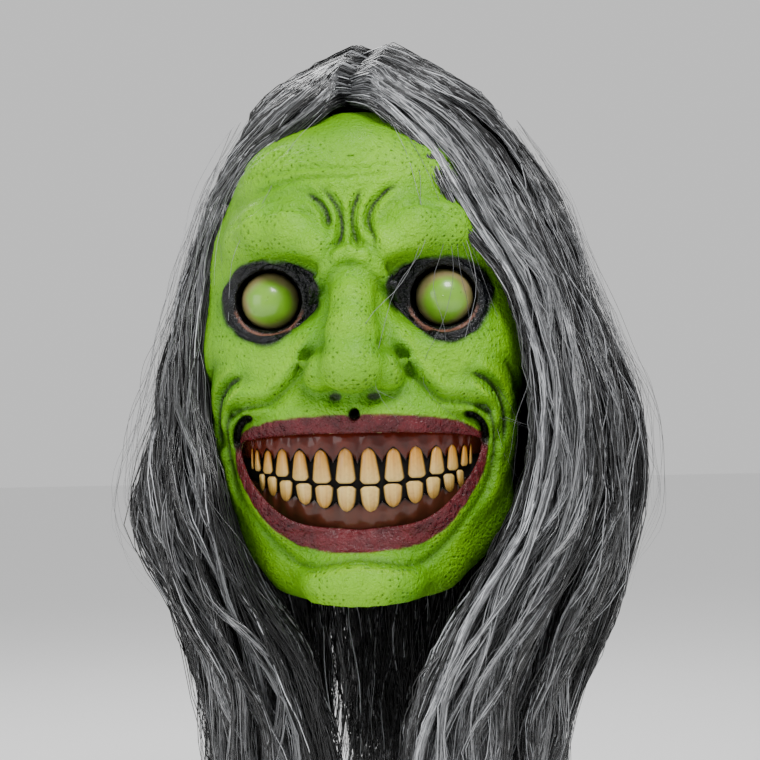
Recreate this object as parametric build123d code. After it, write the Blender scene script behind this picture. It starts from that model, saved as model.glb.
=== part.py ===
"""A rubber halloween mask of a grinning green ghoul, with a long grey and black wig.

Millimetres. +Z is up and the face looks along -Y, so +X is on the right of
someone who faces the mask. The origin is the middle of the head cavity, level
with the wearer's ears, and it is where the mask sits on the wearer's head.
"""
from build123d import *
from math import cos, degrees, radians, sin
import os

# Head form. Skull and jaw are two ellipsoids that the rubber skin follows.
SKULL_CENTRE = (0, 10, 15)
SKULL_HALF_WIDTH = 84
SKULL_HALF_DEPTH = 100
SKULL_HALF_HEIGHT = 108
JAW_CENTRE = (0, -18, -60)
JAW_HALF_WIDTH = 76
JAW_HALF_DEPTH = 72
JAW_HALF_HEIGHT = 86

# Rubber skin: its wall, and where its rear and bottom edges run.
SKIN_WALL = 3.0
SEAM_FRONT_Y = -50
SEAM_FRONT_Z = 106
SKIN_REAR_Y = 15
SEAM_FOOT_Z = -10
JAW_REAR_Z = -72
CHIN_REAR_Y = -46
CHIN_EDGE_Z = -141
TRIM_REACH = 200

# Eyes: glossy domes seated in deep sockets.
EYE_SPACING = 88
EYE_RADIUS = 14
EYE_WALL = 2.0
EYE_CENTRE_Y = -66
EYE_Z = 11
EYE_RIM_SET_BACK = 5
SOCKET_HALF_WIDTH = 25
SOCKET_HALF_DEPTH = 19
SOCKET_HALF_HEIGHT = 21
SOCKET_Y = -84
SIGHT_SLIT_WIDTH = 15
SIGHT_SLIT_HEIGHT = 6
SIGHT_SLIT_RISE = 17
SIGHT_SLIT_INSET = 8

# Nose, brows, cheeks and chin.
NOSE_TIP_Y = -102
NOSE_TIP_Z = -25
NOSE_HALF_WIDTH = 17
NOSE_WING_SPREAD = 14
NOSTRIL_RADIUS = 3.4
BREATHING_HOLE_RADIUS = 3.0
BREATHING_HOLE_Z = -46
NOSE_BRIDGE_CENTRE = (0, -86, 5)
NOSE_BRIDGE_HALF = (12, 15, 36)
NOSE_TIP_HALF_DEPTH = 20
NOSE_TIP_HALF_HEIGHT = 13
NOSE_WING_Y = -92
NOSE_WING_DROP = 3
NOSE_WING_HALF = (11, 13, 10)
NOSTRIL_Y = -98
NOSTRIL_DROP = 6
NOSTRIL_TILT_DEG = 35
NOSTRIL_DEPTH = 36
BROW_SPREAD = 38
BROW_Y = -68
BROW_Z = 43
BROW_HALF = (36, 21, 19)
CHEEK_SPREAD = 51
CHEEK_Y = -54
CHEEK_Z = -31
CHEEK_HALF = (26, 27, 29)
CHIN_CENTRE = (0, -74, -120)
CHIN_HALF = (36, 22, 25)

# Mouth: a wide open grin with its lips, gums and two rows of teeth.
MOUTH_HALF_WIDTH = 60
MOUTH_CORNER_Z = -58
MOUTH_TOP_Z = -54
MOUTH_BOTTOM_Z = -105
MOUTH_BELLY_X = 0.767 * MOUTH_HALF_WIDTH
MOUTH_BELLY_Z = -88
LIP_WIDTH = 9
LIP_RISE = 5
GUM_REAR = 3.0
GUM_FRONT = 0.8
GUM_UPPER_EDGE_Z = -70
GUM_LOWER_EDGE_Z = -93
BITE_CENTRE_Z = -81.5
BITE_SIDE_RISE = 8
BITE_GAP = 0.5
TOOTH_FRONT = 2.6
TOOTH_ARCH_INSET = 2
TOOTH_ARCH_HALF_WIDTH = MOUTH_HALF_WIDTH - TOOTH_ARCH_INSET
TOOTH_STEP_DEG = 12.3
TOOTH_GAP = 0.9
UPPER_TEETH = 12
LOWER_TEETH = 12
UPPER_TOOTH_LENGTH = 17
LOWER_TOOTH_LENGTH = 13
PLATE_WALL = 2.0
PLATE_MARGIN = 4

# Wig cap, its bindings and the sewn weft tracks.
CAP_WALL = 1.2
CAP_HEM_Z = -25
HEM_HEIGHT = 9
HEM_WALL = 2.2
TAPE_WIDTH = 13
TAPE_WALL = 0.9
PART_WIDTH = 12
PART_LENGTH_Y = 48
PART_WALL = 1.0
TRACK_WALL = 1.2
HAIR_CLEARANCE = 0.15
TRACK_HEIGHT = 5
TRACK_LEVELS = {
    "weft_track_nape": -20,
    "weft_track_lower": 8,
    "weft_track_middle": 34,
    "weft_track_upper": 60,
    "weft_track_crown": 84,
}

# Head strap: an elastic band round the nape, riveted to two tabs.
STRAP_Z = -50
STRAP_WIDTH = 14
STRAP_WALL = 1.4
STRAP_START_Y = 17
STRAP_INSET = 0.4
TAB_LENGTH = 26
TAB_WALL = 2.2
RIVET_RADIUS = 2.0
RIVET_HEAD_RADIUS = 3.6
RIVET_HEAD_RISE = 1.2
RIVET_SPACING = 9
RIVET_SET_BACK = 8
RIVET_GAP = 0.2
RIVET_TAIL = 1.5
TAB_KEEP_X = 40
SLIDER_CLEARANCE = 0.35
SLIDER_BAR = 2.6
SLIDER_WALL = 1.6
SLIDER_LENGTH = 16

# Hair: the outside and the inside of the whole mass of hair, by level.
# Each level is (z, middle x, middle y, half width, half depth), for a skull
# of the usual width and depth, and the whole mass widens with the skull.
USUAL_SKULL_HALF_WIDTH = 84
USUAL_SKULL_HALF_DEPTH = 100
HAIR_WIDTH_SHARE = SKULL_HALF_WIDTH / USUAL_SKULL_HALF_WIDTH
HAIR_DEPTH_SHARE = SKULL_HALF_DEPTH / USUAL_SKULL_HALF_DEPTH
HAIR_FOOT_Z = -290
HAIR_OUTSIDE = (
    (138, 4, 8, 26, 36),
    (128, 4, 10, 54, 70),
    (105, 5, 12, 80, 98),
    (70, 8, 12, 97, 112),
    (20, 9, 12, 112, 122),
    (-45, 12, 12, 130, 126),
    (-100, 6, 12, 143, 128),
    (-150, 8, 14, 122, 122),
    (-200, 5, 16, 104, 112),
    (HAIR_FOOT_Z, 0, 18, 92, 98),
)
HAIR_INSIDE = (
    (-22, 0, 14, 86, 88),
    (-70, 0, 12, 85, 84),
    (-120, 0, 12, 82, 74),
    (-175, 0, 16, 66, 60),
    (HAIR_FOOT_Z - 10, 0, 18, 60, 56),
)
HAIR_MIDDLE_SHARE = 0.5
HAIR_AXIS_Y = 15
CROWN_SPLIT_Z = 62
FORELOCK_REAR_Y = -15
HAIR_SECTORS = {
    "front": (8, 68),
    "side": (68, 112),
    "back": (112, 152),
}
BACK_CENTRE_FROM = 152
FACE_OPENING = (
    (-16, HAIR_FOOT_Z - 30),
    (-26, -190),
    (-42, -138),
    (-62, -95),
    (-80, -30),
    (-76, 20),
    (-66, 62),
    (-44, 90),
    (-8, 108),
    (24, 100),
    (41, 72),
    (58, 40),
    (80, 8),
    (84, -35),
    (84, -80),
    (68, -116),
    (48, -142),
    (22, -190),
    (12, HAIR_FOOT_Z - 30),
)

BIG = 400
RING_POINTS = 12


def ellipsoid(centre, half, grow=0.0):
    """A solid ellipsoid with its half axes grown by the same amount."""
    return Pos(*centre) * scale(Sphere(1), by=tuple(h + grow for h in half))


def skull(grow=0.0):
    """The skull form, grown or shrunk."""
    half = (SKULL_HALF_WIDTH, SKULL_HALF_DEPTH, SKULL_HALF_HEIGHT)
    return ellipsoid(SKULL_CENTRE, half, grow)


def jaw(grow=0.0):
    """The jaw form, grown or shrunk."""
    half = (JAW_HALF_WIDTH, JAW_HALF_DEPTH, JAW_HALF_HEIGHT)
    return ellipsoid(JAW_CENTRE, half, grow)


def skull_layer(inner, outer):
    """The layer of the skull form between two offsets."""
    return skull(outer) - skull(inner)


def jaw_layer(inner, outer):
    """The layer of the jaw form between two offsets."""
    return jaw(outer) - jaw(inner)


def side_prism(points, reach=BIG):
    """A prism across the head from an outline of (y, z) points."""
    face = make_face(Polyline(*[(0, y, z) for y, z in points], close=True))
    return extrude(face, amount=reach, dir=(1, 0, 0), both=True)


def front_prism(edges, depth=BIG):
    """A prism that runs forward from the middle of the head."""
    return extrude(make_face(edges), amount=depth, dir=(0, -1, 0))


def box_between(low, high):
    """A box from its low corner to its high corner."""
    size = [h - l for l, h in zip(low, high)]
    middle = [(h + l) / 2 for l, h in zip(low, high)]
    return Pos(*middle) * Box(*size)


def seam_y(z, shift=0.0):
    """Where the seam between rubber and cap crosses a level."""
    slope = (SKIN_REAR_Y - SEAM_FRONT_Y) / (SEAM_FOOT_Z - SEAM_FRONT_Z)
    return SEAM_FRONT_Y + (z - SEAM_FRONT_Z) * slope + shift


def skin_region():
    """Everything in front of the seam and above the jaw's edge."""
    top = TRIM_REACH
    return side_prism((
        (-TRIM_REACH, top),
        (seam_y(top), top),
        (SKIN_REAR_Y, SEAM_FOOT_Z),
        (SKIN_REAR_Y, JAW_REAR_Z),
        (CHIN_REAR_Y, CHIN_EDGE_Z),
        (CHIN_REAR_Y, -TRIM_REACH),
        (-TRIM_REACH, -TRIM_REACH),
    ))


def cap_region(shift=0.0, foot=CAP_HEM_Z):
    """Everything behind the seam and above the cap's hem."""
    top = TRIM_REACH
    return side_prism((
        (seam_y(top, shift), top),
        (seam_y(SEAM_FOOT_Z, shift), SEAM_FOOT_Z),
        (seam_y(SEAM_FOOT_Z, shift), foot),
        (TRIM_REACH, foot),
        (TRIM_REACH, top),
    ))


def eye_centre(side):
    """The centre of one eyeball, side -1 for left and 1 for right."""
    return (side * EYE_SPACING / 2, EYE_CENTRE_Y, EYE_Z)


def eye_ball(side, radius):
    """A ball at one eye, with its poles in front and behind."""
    return Pos(*eye_centre(side)) * Rot(90, 0, 0) * Sphere(radius)


def socket(side, grow=0.0):
    """The hollow of one eye socket."""
    half = (SOCKET_HALF_WIDTH, SOCKET_HALF_DEPTH, SOCKET_HALF_HEIGHT)
    return ellipsoid((side * EYE_SPACING / 2, SOCKET_Y, EYE_Z), half, grow)


def sight_slit(side):
    """The slit under one brow that the wearer sees through."""
    x = side * (EYE_SPACING / 2 - SIGHT_SLIT_INSET)
    slit = SlotOverall(SIGHT_SLIT_WIDTH, SIGHT_SLIT_HEIGHT)
    place = Plane(origin=(x, 0, EYE_Z + SIGHT_SLIT_RISE), x_dir=(1, 0, 0), z_dir=(0, -1, 0))
    return extrude(place * slit, amount=BIG)


def mouth_outline(grow=0.0):
    """The outline of the open mouth, grown outward for lips or plate."""
    left = (-MOUTH_HALF_WIDTH - grow, 0, MOUTH_CORNER_Z)
    right = (MOUTH_HALF_WIDTH + grow, 0, MOUTH_CORNER_Z)
    top = ThreePointArc(left, (0, 0, MOUTH_TOP_Z + grow), right)
    belly = MOUTH_BELLY_X + 0.7 * grow
    level = MOUTH_BELLY_Z - 0.7 * grow
    bottom = Spline(
        right,
        (belly, 0, level),
        (0, 0, MOUTH_BOTTOM_Z - grow),
        (-belly, 0, level),
        left,
    )
    return top + bottom


def mouth_prism(grow=0.0):
    """The open mouth carried forward through the lips."""
    return front_prism(mouth_outline(grow))


def brows_and_cheeks(grow=0.0):
    """The soft bulges of both brows and both cheeks."""
    forms = []
    for side in (-1, 1):
        forms.append(ellipsoid((side * BROW_SPREAD, BROW_Y, BROW_Z), BROW_HALF, grow))
        forms.append(ellipsoid((side * CHEEK_SPREAD, CHEEK_Y, CHEEK_Z), CHEEK_HALF, grow))
    return forms


def nose():
    """The bridge, tip and wings of the nose."""
    tip_half = (NOSE_HALF_WIDTH, NOSE_TIP_HALF_DEPTH, NOSE_TIP_HALF_HEIGHT)
    forms = [
        ellipsoid(NOSE_BRIDGE_CENTRE, NOSE_BRIDGE_HALF),
        ellipsoid((0, NOSE_TIP_Y, NOSE_TIP_Z), tip_half),
    ]
    for side in (-1, 1):
        centre = (side * NOSE_WING_SPREAD, NOSE_WING_Y, NOSE_TIP_Z - NOSE_WING_DROP)
        forms.append(ellipsoid(centre, NOSE_WING_HALF))
    return forms


def lips():
    """The rim of both lips round the open mouth."""
    return mouth_prism(LIP_WIDTH) & jaw(LIP_RISE)


def air_holes():
    """Both nostrils and the small hole under the nose."""
    holes = []
    for side in (-1, 1):
        x = side * NOSE_WING_SPREAD * 0.7
        tilt = Pos(x, NOSTRIL_Y, NOSE_TIP_Z - NOSTRIL_DROP) * Rot(NOSTRIL_TILT_DEG, 0, 0)
        holes.append(tilt * Cylinder(NOSTRIL_RADIUS, NOSTRIL_DEPTH))
    hole = Plane(origin=(0, 0, BREATHING_HOLE_Z), x_dir=(1, 0, 0), z_dir=(0, -1, 0))
    holes.append(extrude(hole * Circle(BREATHING_HOLE_RADIUS), amount=BIG))
    return holes


def rubber_face():
    """The moulded rubber skin from the hairline to the chin."""
    outside = skull() + jaw()
    outside = outside.fuse(*brows_and_cheeks(), *nose())
    outside = outside + ellipsoid(CHIN_CENTRE, CHIN_HALF)
    outside = outside + lips()
    cavity = skull(-SKIN_WALL) + jaw(-SKIN_WALL)
    for side in (-1, 1):
        cavity = cavity - socket(side, SKIN_WALL)
    skin = outside - cavity
    for side in (-1, 1):
        skin = skin - socket(side)
        skin = skin - eye_ball(side, EYE_RADIUS)
        skin = skin - sight_slit(side)
    for hole in air_holes():
        skin = skin - hole
    skin = skin - mouth_prism()
    return skin & skin_region()


def eyeball(side):
    """One hollow eye dome, open at the back."""
    ball = eye_ball(side, EYE_RADIUS) - eye_ball(side, EYE_RADIUS - EYE_WALL)
    rim = EYE_CENTRE_Y + EYE_RIM_SET_BACK
    return ball & box_between((-BIG, -BIG, -BIG), (BIG, rim, BIG))


def mouth_plate():
    """The dark plate behind the teeth that closes the mouth from inside."""
    layer = jaw_layer(-SKIN_WALL - PLATE_WALL, -SKIN_WALL)
    return layer & mouth_prism(PLATE_MARGIN)


def bite_z(x):
    """The level of the bite line, which rises towards the corners."""
    return BITE_CENTRE_Z + BITE_SIDE_RISE * (x / TOOTH_ARCH_HALF_WIDTH) ** 2


def tooth_places(count):
    """The middle and the width of each tooth in a row."""
    places = []
    for i in range(count):
        angle = radians((i - (count - 1) / 2) * TOOTH_STEP_DEG)
        half = radians(TOOTH_STEP_DEG / 2)
        low = TOOTH_ARCH_HALF_WIDTH * sin(angle - half)
        high = TOOTH_ARCH_HALF_WIDTH * sin(angle + half)
        places.append(((low + high) / 2, high - low - TOOTH_GAP))
    return places


def tooth(x, width, direction, length):
    """One tooth: flat at the bite and pointed into the gum."""
    bite = bite_z(x) + direction * BITE_GAP
    shrink = 1 - 0.42 * (x / TOOTH_ARCH_HALF_WIDTH) ** 2
    root = bite + direction * length * shrink
    shoulder = bite + direction * length * shrink * 0.55
    outline = Polyline(
        (x - width * 0.42, 0, bite),
        (x + width * 0.42, 0, bite),
        (x + width * 0.5, 0, shoulder),
        (x, 0, root),
        (x - width * 0.5, 0, shoulder),
        close=True,
    )
    return front_prism(outline) & jaw_layer(-SKIN_WALL, TOOTH_FRONT) & mouth_prism()


def tooth_row(count, direction, length):
    """A row of separate teeth along the arch of the mouth."""
    return [tooth(x, width, direction, length) for x, width in tooth_places(count)]


def gum(upper, teeth):
    """One gum band inside the mouth, cut round its teeth."""
    band = jaw_layer(-SKIN_WALL, GUM_FRONT) & mouth_prism()
    if upper:
        keep = box_between((-BIG, -BIG, GUM_UPPER_EDGE_Z), (BIG, 0, BIG))
    else:
        keep = box_between((-BIG, -BIG, -BIG), (BIG, 0, GUM_LOWER_EDGE_Z))
    band = band & keep
    for one in teeth:
        band = band - one
    return band


def wig_cap():
    """The net cap that carries the hair."""
    return skull_layer(-CAP_WALL, 0) & cap_region()


def cap_hem():
    """The elastic hem below the cap at the nape."""
    layer = skull_layer(-CAP_WALL - HEM_WALL / 2, 0)
    keep = box_between((-BIG, SKIN_REAR_Y, CAP_HEM_Z - HEM_HEIGHT), (BIG, BIG, CAP_HEM_Z))
    return layer & keep


def seam_tape():
    """The tape that covers the seam between rubber and cap."""
    band = side_prism((
        (seam_y(TRIM_REACH, -TAPE_WIDTH / 2), TRIM_REACH),
        (seam_y(SEAM_FOOT_Z, -TAPE_WIDTH / 2), SEAM_FOOT_Z),
        (seam_y(SEAM_FOOT_Z, TAPE_WIDTH / 2), SEAM_FOOT_Z),
        (seam_y(TRIM_REACH, TAPE_WIDTH / 2), TRIM_REACH),
    ))
    return skull_layer(0, TAPE_WALL) & band


def part_strip():
    """The strip along the top that the crown hair is sewn through."""
    keep = box_between((-PART_WIDTH / 2, -BIG, 0), (PART_WIDTH / 2, PART_LENGTH_Y, BIG))
    return skull_layer(0, PART_WALL) & cap_region(TAPE_WIDTH / 2) & keep


def weft_track(level):
    """One sewn track round the cap, behind the seam tape."""
    keep = box_between((-BIG, -BIG, level), (BIG, BIG, level + TRACK_HEIGHT))
    return skull_layer(0, TRACK_WALL) & cap_region(TAPE_WIDTH / 2) & keep


def skin_form(grow=0.0):
    """Skull and jaw together, as the tabs lie on them."""
    return skull(grow) + jaw(grow)


def strap_tab(side):
    """One tab on the outside of the skin, where the strap starts."""
    low = STRAP_Z - STRAP_WIDTH / 2
    high = STRAP_Z + STRAP_WIDTH / 2
    near, far = sorted((side * TAB_KEEP_X, side * BIG))
    keep = box_between((near, STRAP_START_Y - TAB_LENGTH, low), (far, STRAP_START_Y, high))
    tab = (skin_form(TAB_WALL) & keep) - skin_form()
    for one in rivets(side):
        tab = tab - one
    return tab


def rivets(side):
    """Two rivets through one tab and the skin."""
    found = []
    for place in (0, 1):
        y = STRAP_START_Y - RIVET_SET_BACK - place * RIVET_SPACING
        inside = strap_half_width(y, -SKIN_WALL) - RIVET_TAIL
        outside = strap_half_width(y, TAB_WALL) + RIVET_GAP
        centre = Pos(side * (outside + inside) / 2, y, STRAP_Z)
        body = centre * Rot(0, 90, 0) * Cylinder(RIVET_RADIUS, outside - inside)
        head_x = side * (outside + RIVET_HEAD_RISE / 2)
        head = Pos(head_x, y, STRAP_Z) * Rot(0, 90, 0) * Cylinder(RIVET_HEAD_RADIUS, RIVET_HEAD_RISE)
        found.append(body + head)
    return found


def strap_half_width(y, grow):
    """How far out the skull or jaw form reaches at the strap's level."""
    reach = 0.0
    forms = (
        (SKULL_CENTRE, (SKULL_HALF_WIDTH, SKULL_HALF_DEPTH, SKULL_HALF_HEIGHT)),
        (JAW_CENTRE, (JAW_HALF_WIDTH, JAW_HALF_DEPTH, JAW_HALF_HEIGHT)),
    )
    for centre, half in forms:
        a, b, c = (h + grow for h in half)
        rest = 1 - ((y - centre[1]) / b) ** 2 - ((STRAP_Z - centre[2]) / c) ** 2
        if rest > 0:
            reach = max(reach, a * rest ** 0.5)
    return reach


def strap_radius():
    """The strap's inner radius, which follows the head's width at its level."""
    return strap_half_width(STRAP_START_Y, 0) - STRAP_INSET


def strap_arc(inner, outer, low, high, start=0.0, sweep=180.0):
    """Part of a ring round the strap's own upright axis."""
    axis = Axis((0, STRAP_START_Y, 0), (0, 0, 1))
    outline = Polyline(
        (inner, STRAP_START_Y, low),
        (outer, STRAP_START_Y, low),
        (outer, STRAP_START_Y, high),
        (inner, STRAP_START_Y, high),
        close=True,
    )
    ring = revolve(make_face(outline), axis, sweep)
    return ring.rotate(axis, start)


def head_strap():
    """The elastic strap from tab to tab round the back of the head."""
    low = STRAP_Z - STRAP_WIDTH / 2
    high = STRAP_Z + STRAP_WIDTH / 2
    return strap_arc(strap_radius(), strap_radius() + STRAP_WALL, low, high)


def strap_slider():
    """The slider that takes up the strap, with its bars on both faces."""
    inner = strap_radius() - SLIDER_CLEARANCE
    outer = strap_radius() + STRAP_WALL + SLIDER_CLEARANCE
    half = STRAP_WIDTH / 2 + SLIDER_CLEARANCE
    span = degrees(SLIDER_LENGTH / strap_radius())
    bar = degrees(SLIDER_BAR / strap_radius())
    first = 90 - span / 2
    parts = []
    for low in (STRAP_Z - half - SLIDER_BAR, STRAP_Z + half):
        rail = strap_arc(inner - SLIDER_WALL, outer + SLIDER_WALL, low, low + SLIDER_BAR, first, span)
        parts.append(rail)
    low = STRAP_Z - half
    high = STRAP_Z + half
    for start in (first, first + span - bar):
        parts.append(strap_arc(inner - SLIDER_WALL, inner, low, high, start, bar))
    middle = first + (span - bar) / 2
    parts.append(strap_arc(outer, outer + SLIDER_WALL, low, high, middle, bar))
    return parts[0].fuse(*parts[1:])


def level_ring(z, x, y, half_width, half_depth):
    """An upright oval's outline at one level."""
    points = []
    for i in range(RING_POINTS):
        angle = radians(360 * i / RING_POINTS)
        across = (x + half_width * sin(angle)) * HAIR_WIDTH_SHARE
        along = (y - half_depth * cos(angle)) * HAIR_DEPTH_SHARE
        points.append((across, along, z))
    return make_face(Spline(*points, periodic=True))


def level_loft(levels):
    """An upright form through an oval at each level."""
    return loft([level_ring(*level) for level in levels], ruled=True)


def between_levels(share):
    """Levels part of the way from the inside to the outside of the hair."""
    levels = []
    for z, x, y, half_width, half_depth in HAIR_OUTSIDE:
        inside_width = USUAL_SKULL_HALF_WIDTH if z > 0 else HAIR_INSIDE[2][3]
        inside_depth = USUAL_SKULL_HALF_DEPTH if z > 0 else HAIR_INSIDE[2][4]
        if z < HAIR_INSIDE[3][0]:
            inside_width, inside_depth = HAIR_INSIDE[3][3:]
        levels.append((
            z,
            x * share,
            y,
            inside_width + (half_width - inside_width) * share,
            inside_depth + (half_depth - inside_depth) * share,
        ))
    return levels


def face_window():
    """The opening in the hair for the face and the throat."""
    corners = [(x * HAIR_WIDTH_SHARE, 0, z) for x, z in FACE_OPENING]
    outline = Polyline(*corners, close=True)
    return Pos(0, HAIR_AXIS_Y, 0) * front_prism(outline)


def hair_mass():
    """All the hair together, clear of the head, the strap and the face."""
    clear = TRACK_WALL + HAIR_CLEARANCE
    hair = level_loft(HAIR_OUTSIDE) - skull(clear)
    hair = hair - jaw(clear) - level_loft(HAIR_INSIDE)
    for bulge in brows_and_cheeks(clear):
        hair = hair - bulge
    return hair - face_window()


def wedge(start, end):
    """An upright wedge of azimuths, from 0 in front to 180 behind."""
    corners = [(0, HAIR_AXIS_Y)]
    steps = 3
    for i in range(steps + 1):
        angle = radians(start + (end - start) * i / steps)
        corners.append((BIG * sin(angle), HAIR_AXIS_Y - BIG * cos(angle)))
    outline = Polyline(*[(x, y, -BIG) for x, y in corners], close=True)
    return extrude(make_face(outline), amount=2 * BIG, dir=(0, 0, 1))


def hair_locks():
    """Every lock of hair as its own piece."""
    mass = hair_mass()
    low = box_between((-BIG, -BIG, -BIG), (BIG, BIG, CROWN_SPLIT_Z))
    high = box_between((-BIG, -BIG, CROWN_SPLIT_Z), (BIG, BIG, BIG))
    crown = mass & high
    left = box_between((-BIG, -BIG, -BIG), (0, BIG, BIG))
    right_rear = box_between((0, FORELOCK_REAR_Y, -BIG), (BIG, BIG, BIG))
    right_front = box_between((0, -BIG, -BIG), (BIG, FORELOCK_REAR_Y, BIG))
    locks = {
        "hair_crown_left": crown & left,
        "hair_crown_right": crown & right_rear,
        "hair_forelock": crown & right_front,
    }
    lower = mass & low
    split = level_loft(between_levels(HAIR_MIDDLE_SHARE))
    layers = {"outer": lower - split, "under": lower & split}
    for layer, form in layers.items():
        for name, (start, end) in HAIR_SECTORS.items():
            locks[f"hair_{name}_right_{layer}"] = form & wedge(start, end)
            locks[f"hair_{name}_left_{layer}"] = form & wedge(-end, -start)
        middle = wedge(BACK_CENTRE_FROM, 360 - BACK_CENTRE_FROM)
        locks[f"hair_back_centre_{layer}"] = form & middle
    return locks


def all_pieces():
    """Every node's name and its solids."""
    upper = tooth_row(UPPER_TEETH, 1, UPPER_TOOTH_LENGTH)
    lower = tooth_row(LOWER_TEETH, -1, LOWER_TOOTH_LENGTH)
    all_rivets = rivets(-1) + rivets(1)
    face = rubber_face()
    for one in all_rivets:
        face = face - one
    pieces = {
        "rubber_face": face,
        "eyeball_left": eyeball(-1),
        "eyeball_right": eyeball(1),
        "mouth_plate": mouth_plate(),
        "gum_upper": gum(True, upper),
        "gum_lower": gum(False, lower),
        "teeth_upper": Compound(children=upper),
        "teeth_lower": Compound(children=lower),
        "wig_cap": wig_cap(),
        "cap_hem_elastic": cap_hem(),
        "seam_tape": seam_tape(),
        "part_strip": part_strip(),
        "strap_tab_left": strap_tab(-1),
        "strap_tab_right": strap_tab(1),
        "tab_rivets": Compound(children=all_rivets),
        "head_strap": head_strap(),
        "strap_slider": strap_slider(),
    }
    for name, level in TRACK_LEVELS.items():
        pieces[name] = weft_track(level)
    pieces.update(hair_locks())
    return pieces


os.makedirs("parts", exist_ok=True)
for name, piece in all_pieces().items():
    export_step(piece, f"parts/{name}.step")
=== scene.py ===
import math

import bpy
import numpy as np
from mathutils import Matrix, Vector


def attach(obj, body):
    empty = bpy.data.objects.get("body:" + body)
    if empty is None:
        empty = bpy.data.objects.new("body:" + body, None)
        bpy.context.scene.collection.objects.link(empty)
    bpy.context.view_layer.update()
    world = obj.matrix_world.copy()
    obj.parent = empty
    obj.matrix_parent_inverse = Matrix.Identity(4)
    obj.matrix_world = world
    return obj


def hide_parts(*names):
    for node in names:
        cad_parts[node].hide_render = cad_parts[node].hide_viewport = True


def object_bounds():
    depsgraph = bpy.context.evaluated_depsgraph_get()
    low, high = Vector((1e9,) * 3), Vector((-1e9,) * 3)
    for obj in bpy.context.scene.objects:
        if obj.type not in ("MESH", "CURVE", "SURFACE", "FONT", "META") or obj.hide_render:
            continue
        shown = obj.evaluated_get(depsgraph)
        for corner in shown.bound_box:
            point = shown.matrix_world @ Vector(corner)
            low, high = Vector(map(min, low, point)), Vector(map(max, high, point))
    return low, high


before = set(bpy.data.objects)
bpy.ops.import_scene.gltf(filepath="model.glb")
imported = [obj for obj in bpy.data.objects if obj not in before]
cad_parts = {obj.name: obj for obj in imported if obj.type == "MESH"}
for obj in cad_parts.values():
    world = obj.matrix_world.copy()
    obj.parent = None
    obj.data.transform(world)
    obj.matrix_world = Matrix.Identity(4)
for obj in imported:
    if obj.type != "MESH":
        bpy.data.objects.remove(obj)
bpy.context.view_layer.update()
MM = 0.001

# ---------------------------------------------------------------- fields


def ellipsoid(p, centre, half):
    """Signed distance, near enough, to an ellipsoid."""
    half = np.asarray(half, dtype=np.float32)
    q = (p - np.asarray(centre, dtype=np.float32)) / half
    k0 = np.linalg.norm(q, axis=1)
    k1 = np.linalg.norm(q / half, axis=1)
    return k0 * (k0 - 1) / np.maximum(k1, 1e-6)


def blend(a, b, k):
    """Smooth union of two fields."""
    h = np.maximum(k - np.abs(a - b), 0) / k
    return np.minimum(a, b) - h * h * k * 0.25


def carve(a, b, k):
    """The first field with the second smoothly cut away."""
    return -blend(-a, b, k)


def chain(p, knots, k=4.0):
    """A tapering rounded rod through knots of (x, y, z, radius)."""
    total = None
    for (ax, ay, az, ar), (bx, by, bz, br) in zip(knots, knots[1:]):
        a = np.array((ax, ay, az), dtype=np.float32)
        ab = np.array((bx, by, bz), dtype=np.float32) - a
        t = np.clip((p - a) @ ab / (ab @ ab), 0, 1)
        d = np.linalg.norm(p - a - t[:, None] * ab, axis=1) - (ar + (br - ar) * t)
        total = d if total is None else blend(total, d, k)
    return total


def line(x, z, points):
    """Distance to a drawn line in the front view, place along it and side of it."""
    best = np.full(x.shape, 1e9, dtype=np.float32)
    along = np.zeros_like(best)
    side = np.zeros_like(best)
    count = len(points) - 1
    for i, ((ax, az), (bx, bz)) in enumerate(zip(points, points[1:])):
        dx, dz = bx - ax, bz - az
        t = np.clip(((x - ax) * dx + (z - az) * dz) / (dx * dx + dz * dz), 0, 1)
        ex, ez = x - ax - t * dx, z - az - t * dz
        d = np.hypot(ex, ez)
        near = d < best
        best = np.where(near, d, best)
        along = np.where(near, (i + t) / count, along)
        side = np.where(near, np.sign(dx * ez - dz * ex), side)
    return best, along, side


def smooth_line(points, steps=6):
    """A Catmull-Rom curve through points, as a finer list of points."""
    p = np.asarray(points, dtype=float)
    p = np.vstack([2 * p[0] - p[1], p, 2 * p[-1] - p[-2]])
    out = []
    for i in range(1, len(p) - 2):
        for s in range(steps):
            t = s / steps
            a, b, c, d = p[i - 1], p[i], p[i + 1], p[i + 2]
            out.append(0.5 * (2 * b + (c - a) * t + (2 * a - 5 * b + 4 * c - d) * t * t
                              + (3 * b - a - 3 * c + d) * t ** 3))
    out.append(p[-2])
    return out


def hashed(i, j, k, seed):
    """A repeatable random number for each lattice point."""
    h = (i.astype(np.uint32) * np.uint32(374761393) + j.astype(np.uint32) * np.uint32(668265263)
         + k.astype(np.uint32) * np.uint32(2147483647) + np.uint32(seed * 144665 + 7))
    h = (h ^ (h >> np.uint32(13))) * np.uint32(1274126177)
    h = h ^ (h >> np.uint32(16))
    return h.astype(np.float32) / np.float32(4294967295) * 2 - 1


def noise(p, scale, seed=0):
    """Smooth value noise from -1 to 1 with features of about `scale` millimetres."""
    q = p / scale
    base = np.floor(q)
    f = q - base
    f = f * f * (3 - 2 * f)
    b = base.astype(np.int64)
    total = np.zeros(len(p), dtype=np.float32)
    for dx in (0, 1):
        wx = f[:, 0] if dx else 1 - f[:, 0]
        for dy in (0, 1):
            wy = f[:, 1] if dy else 1 - f[:, 1]
            for dz in (0, 1):
                wz = f[:, 2] if dz else 1 - f[:, 2]
                total += wx * wy * wz * hashed(b[:, 0] + dx, b[:, 1] + dy, b[:, 2] + dz, seed)
    return total


# ---------------------------------------------------------------- the face's forms

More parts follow.
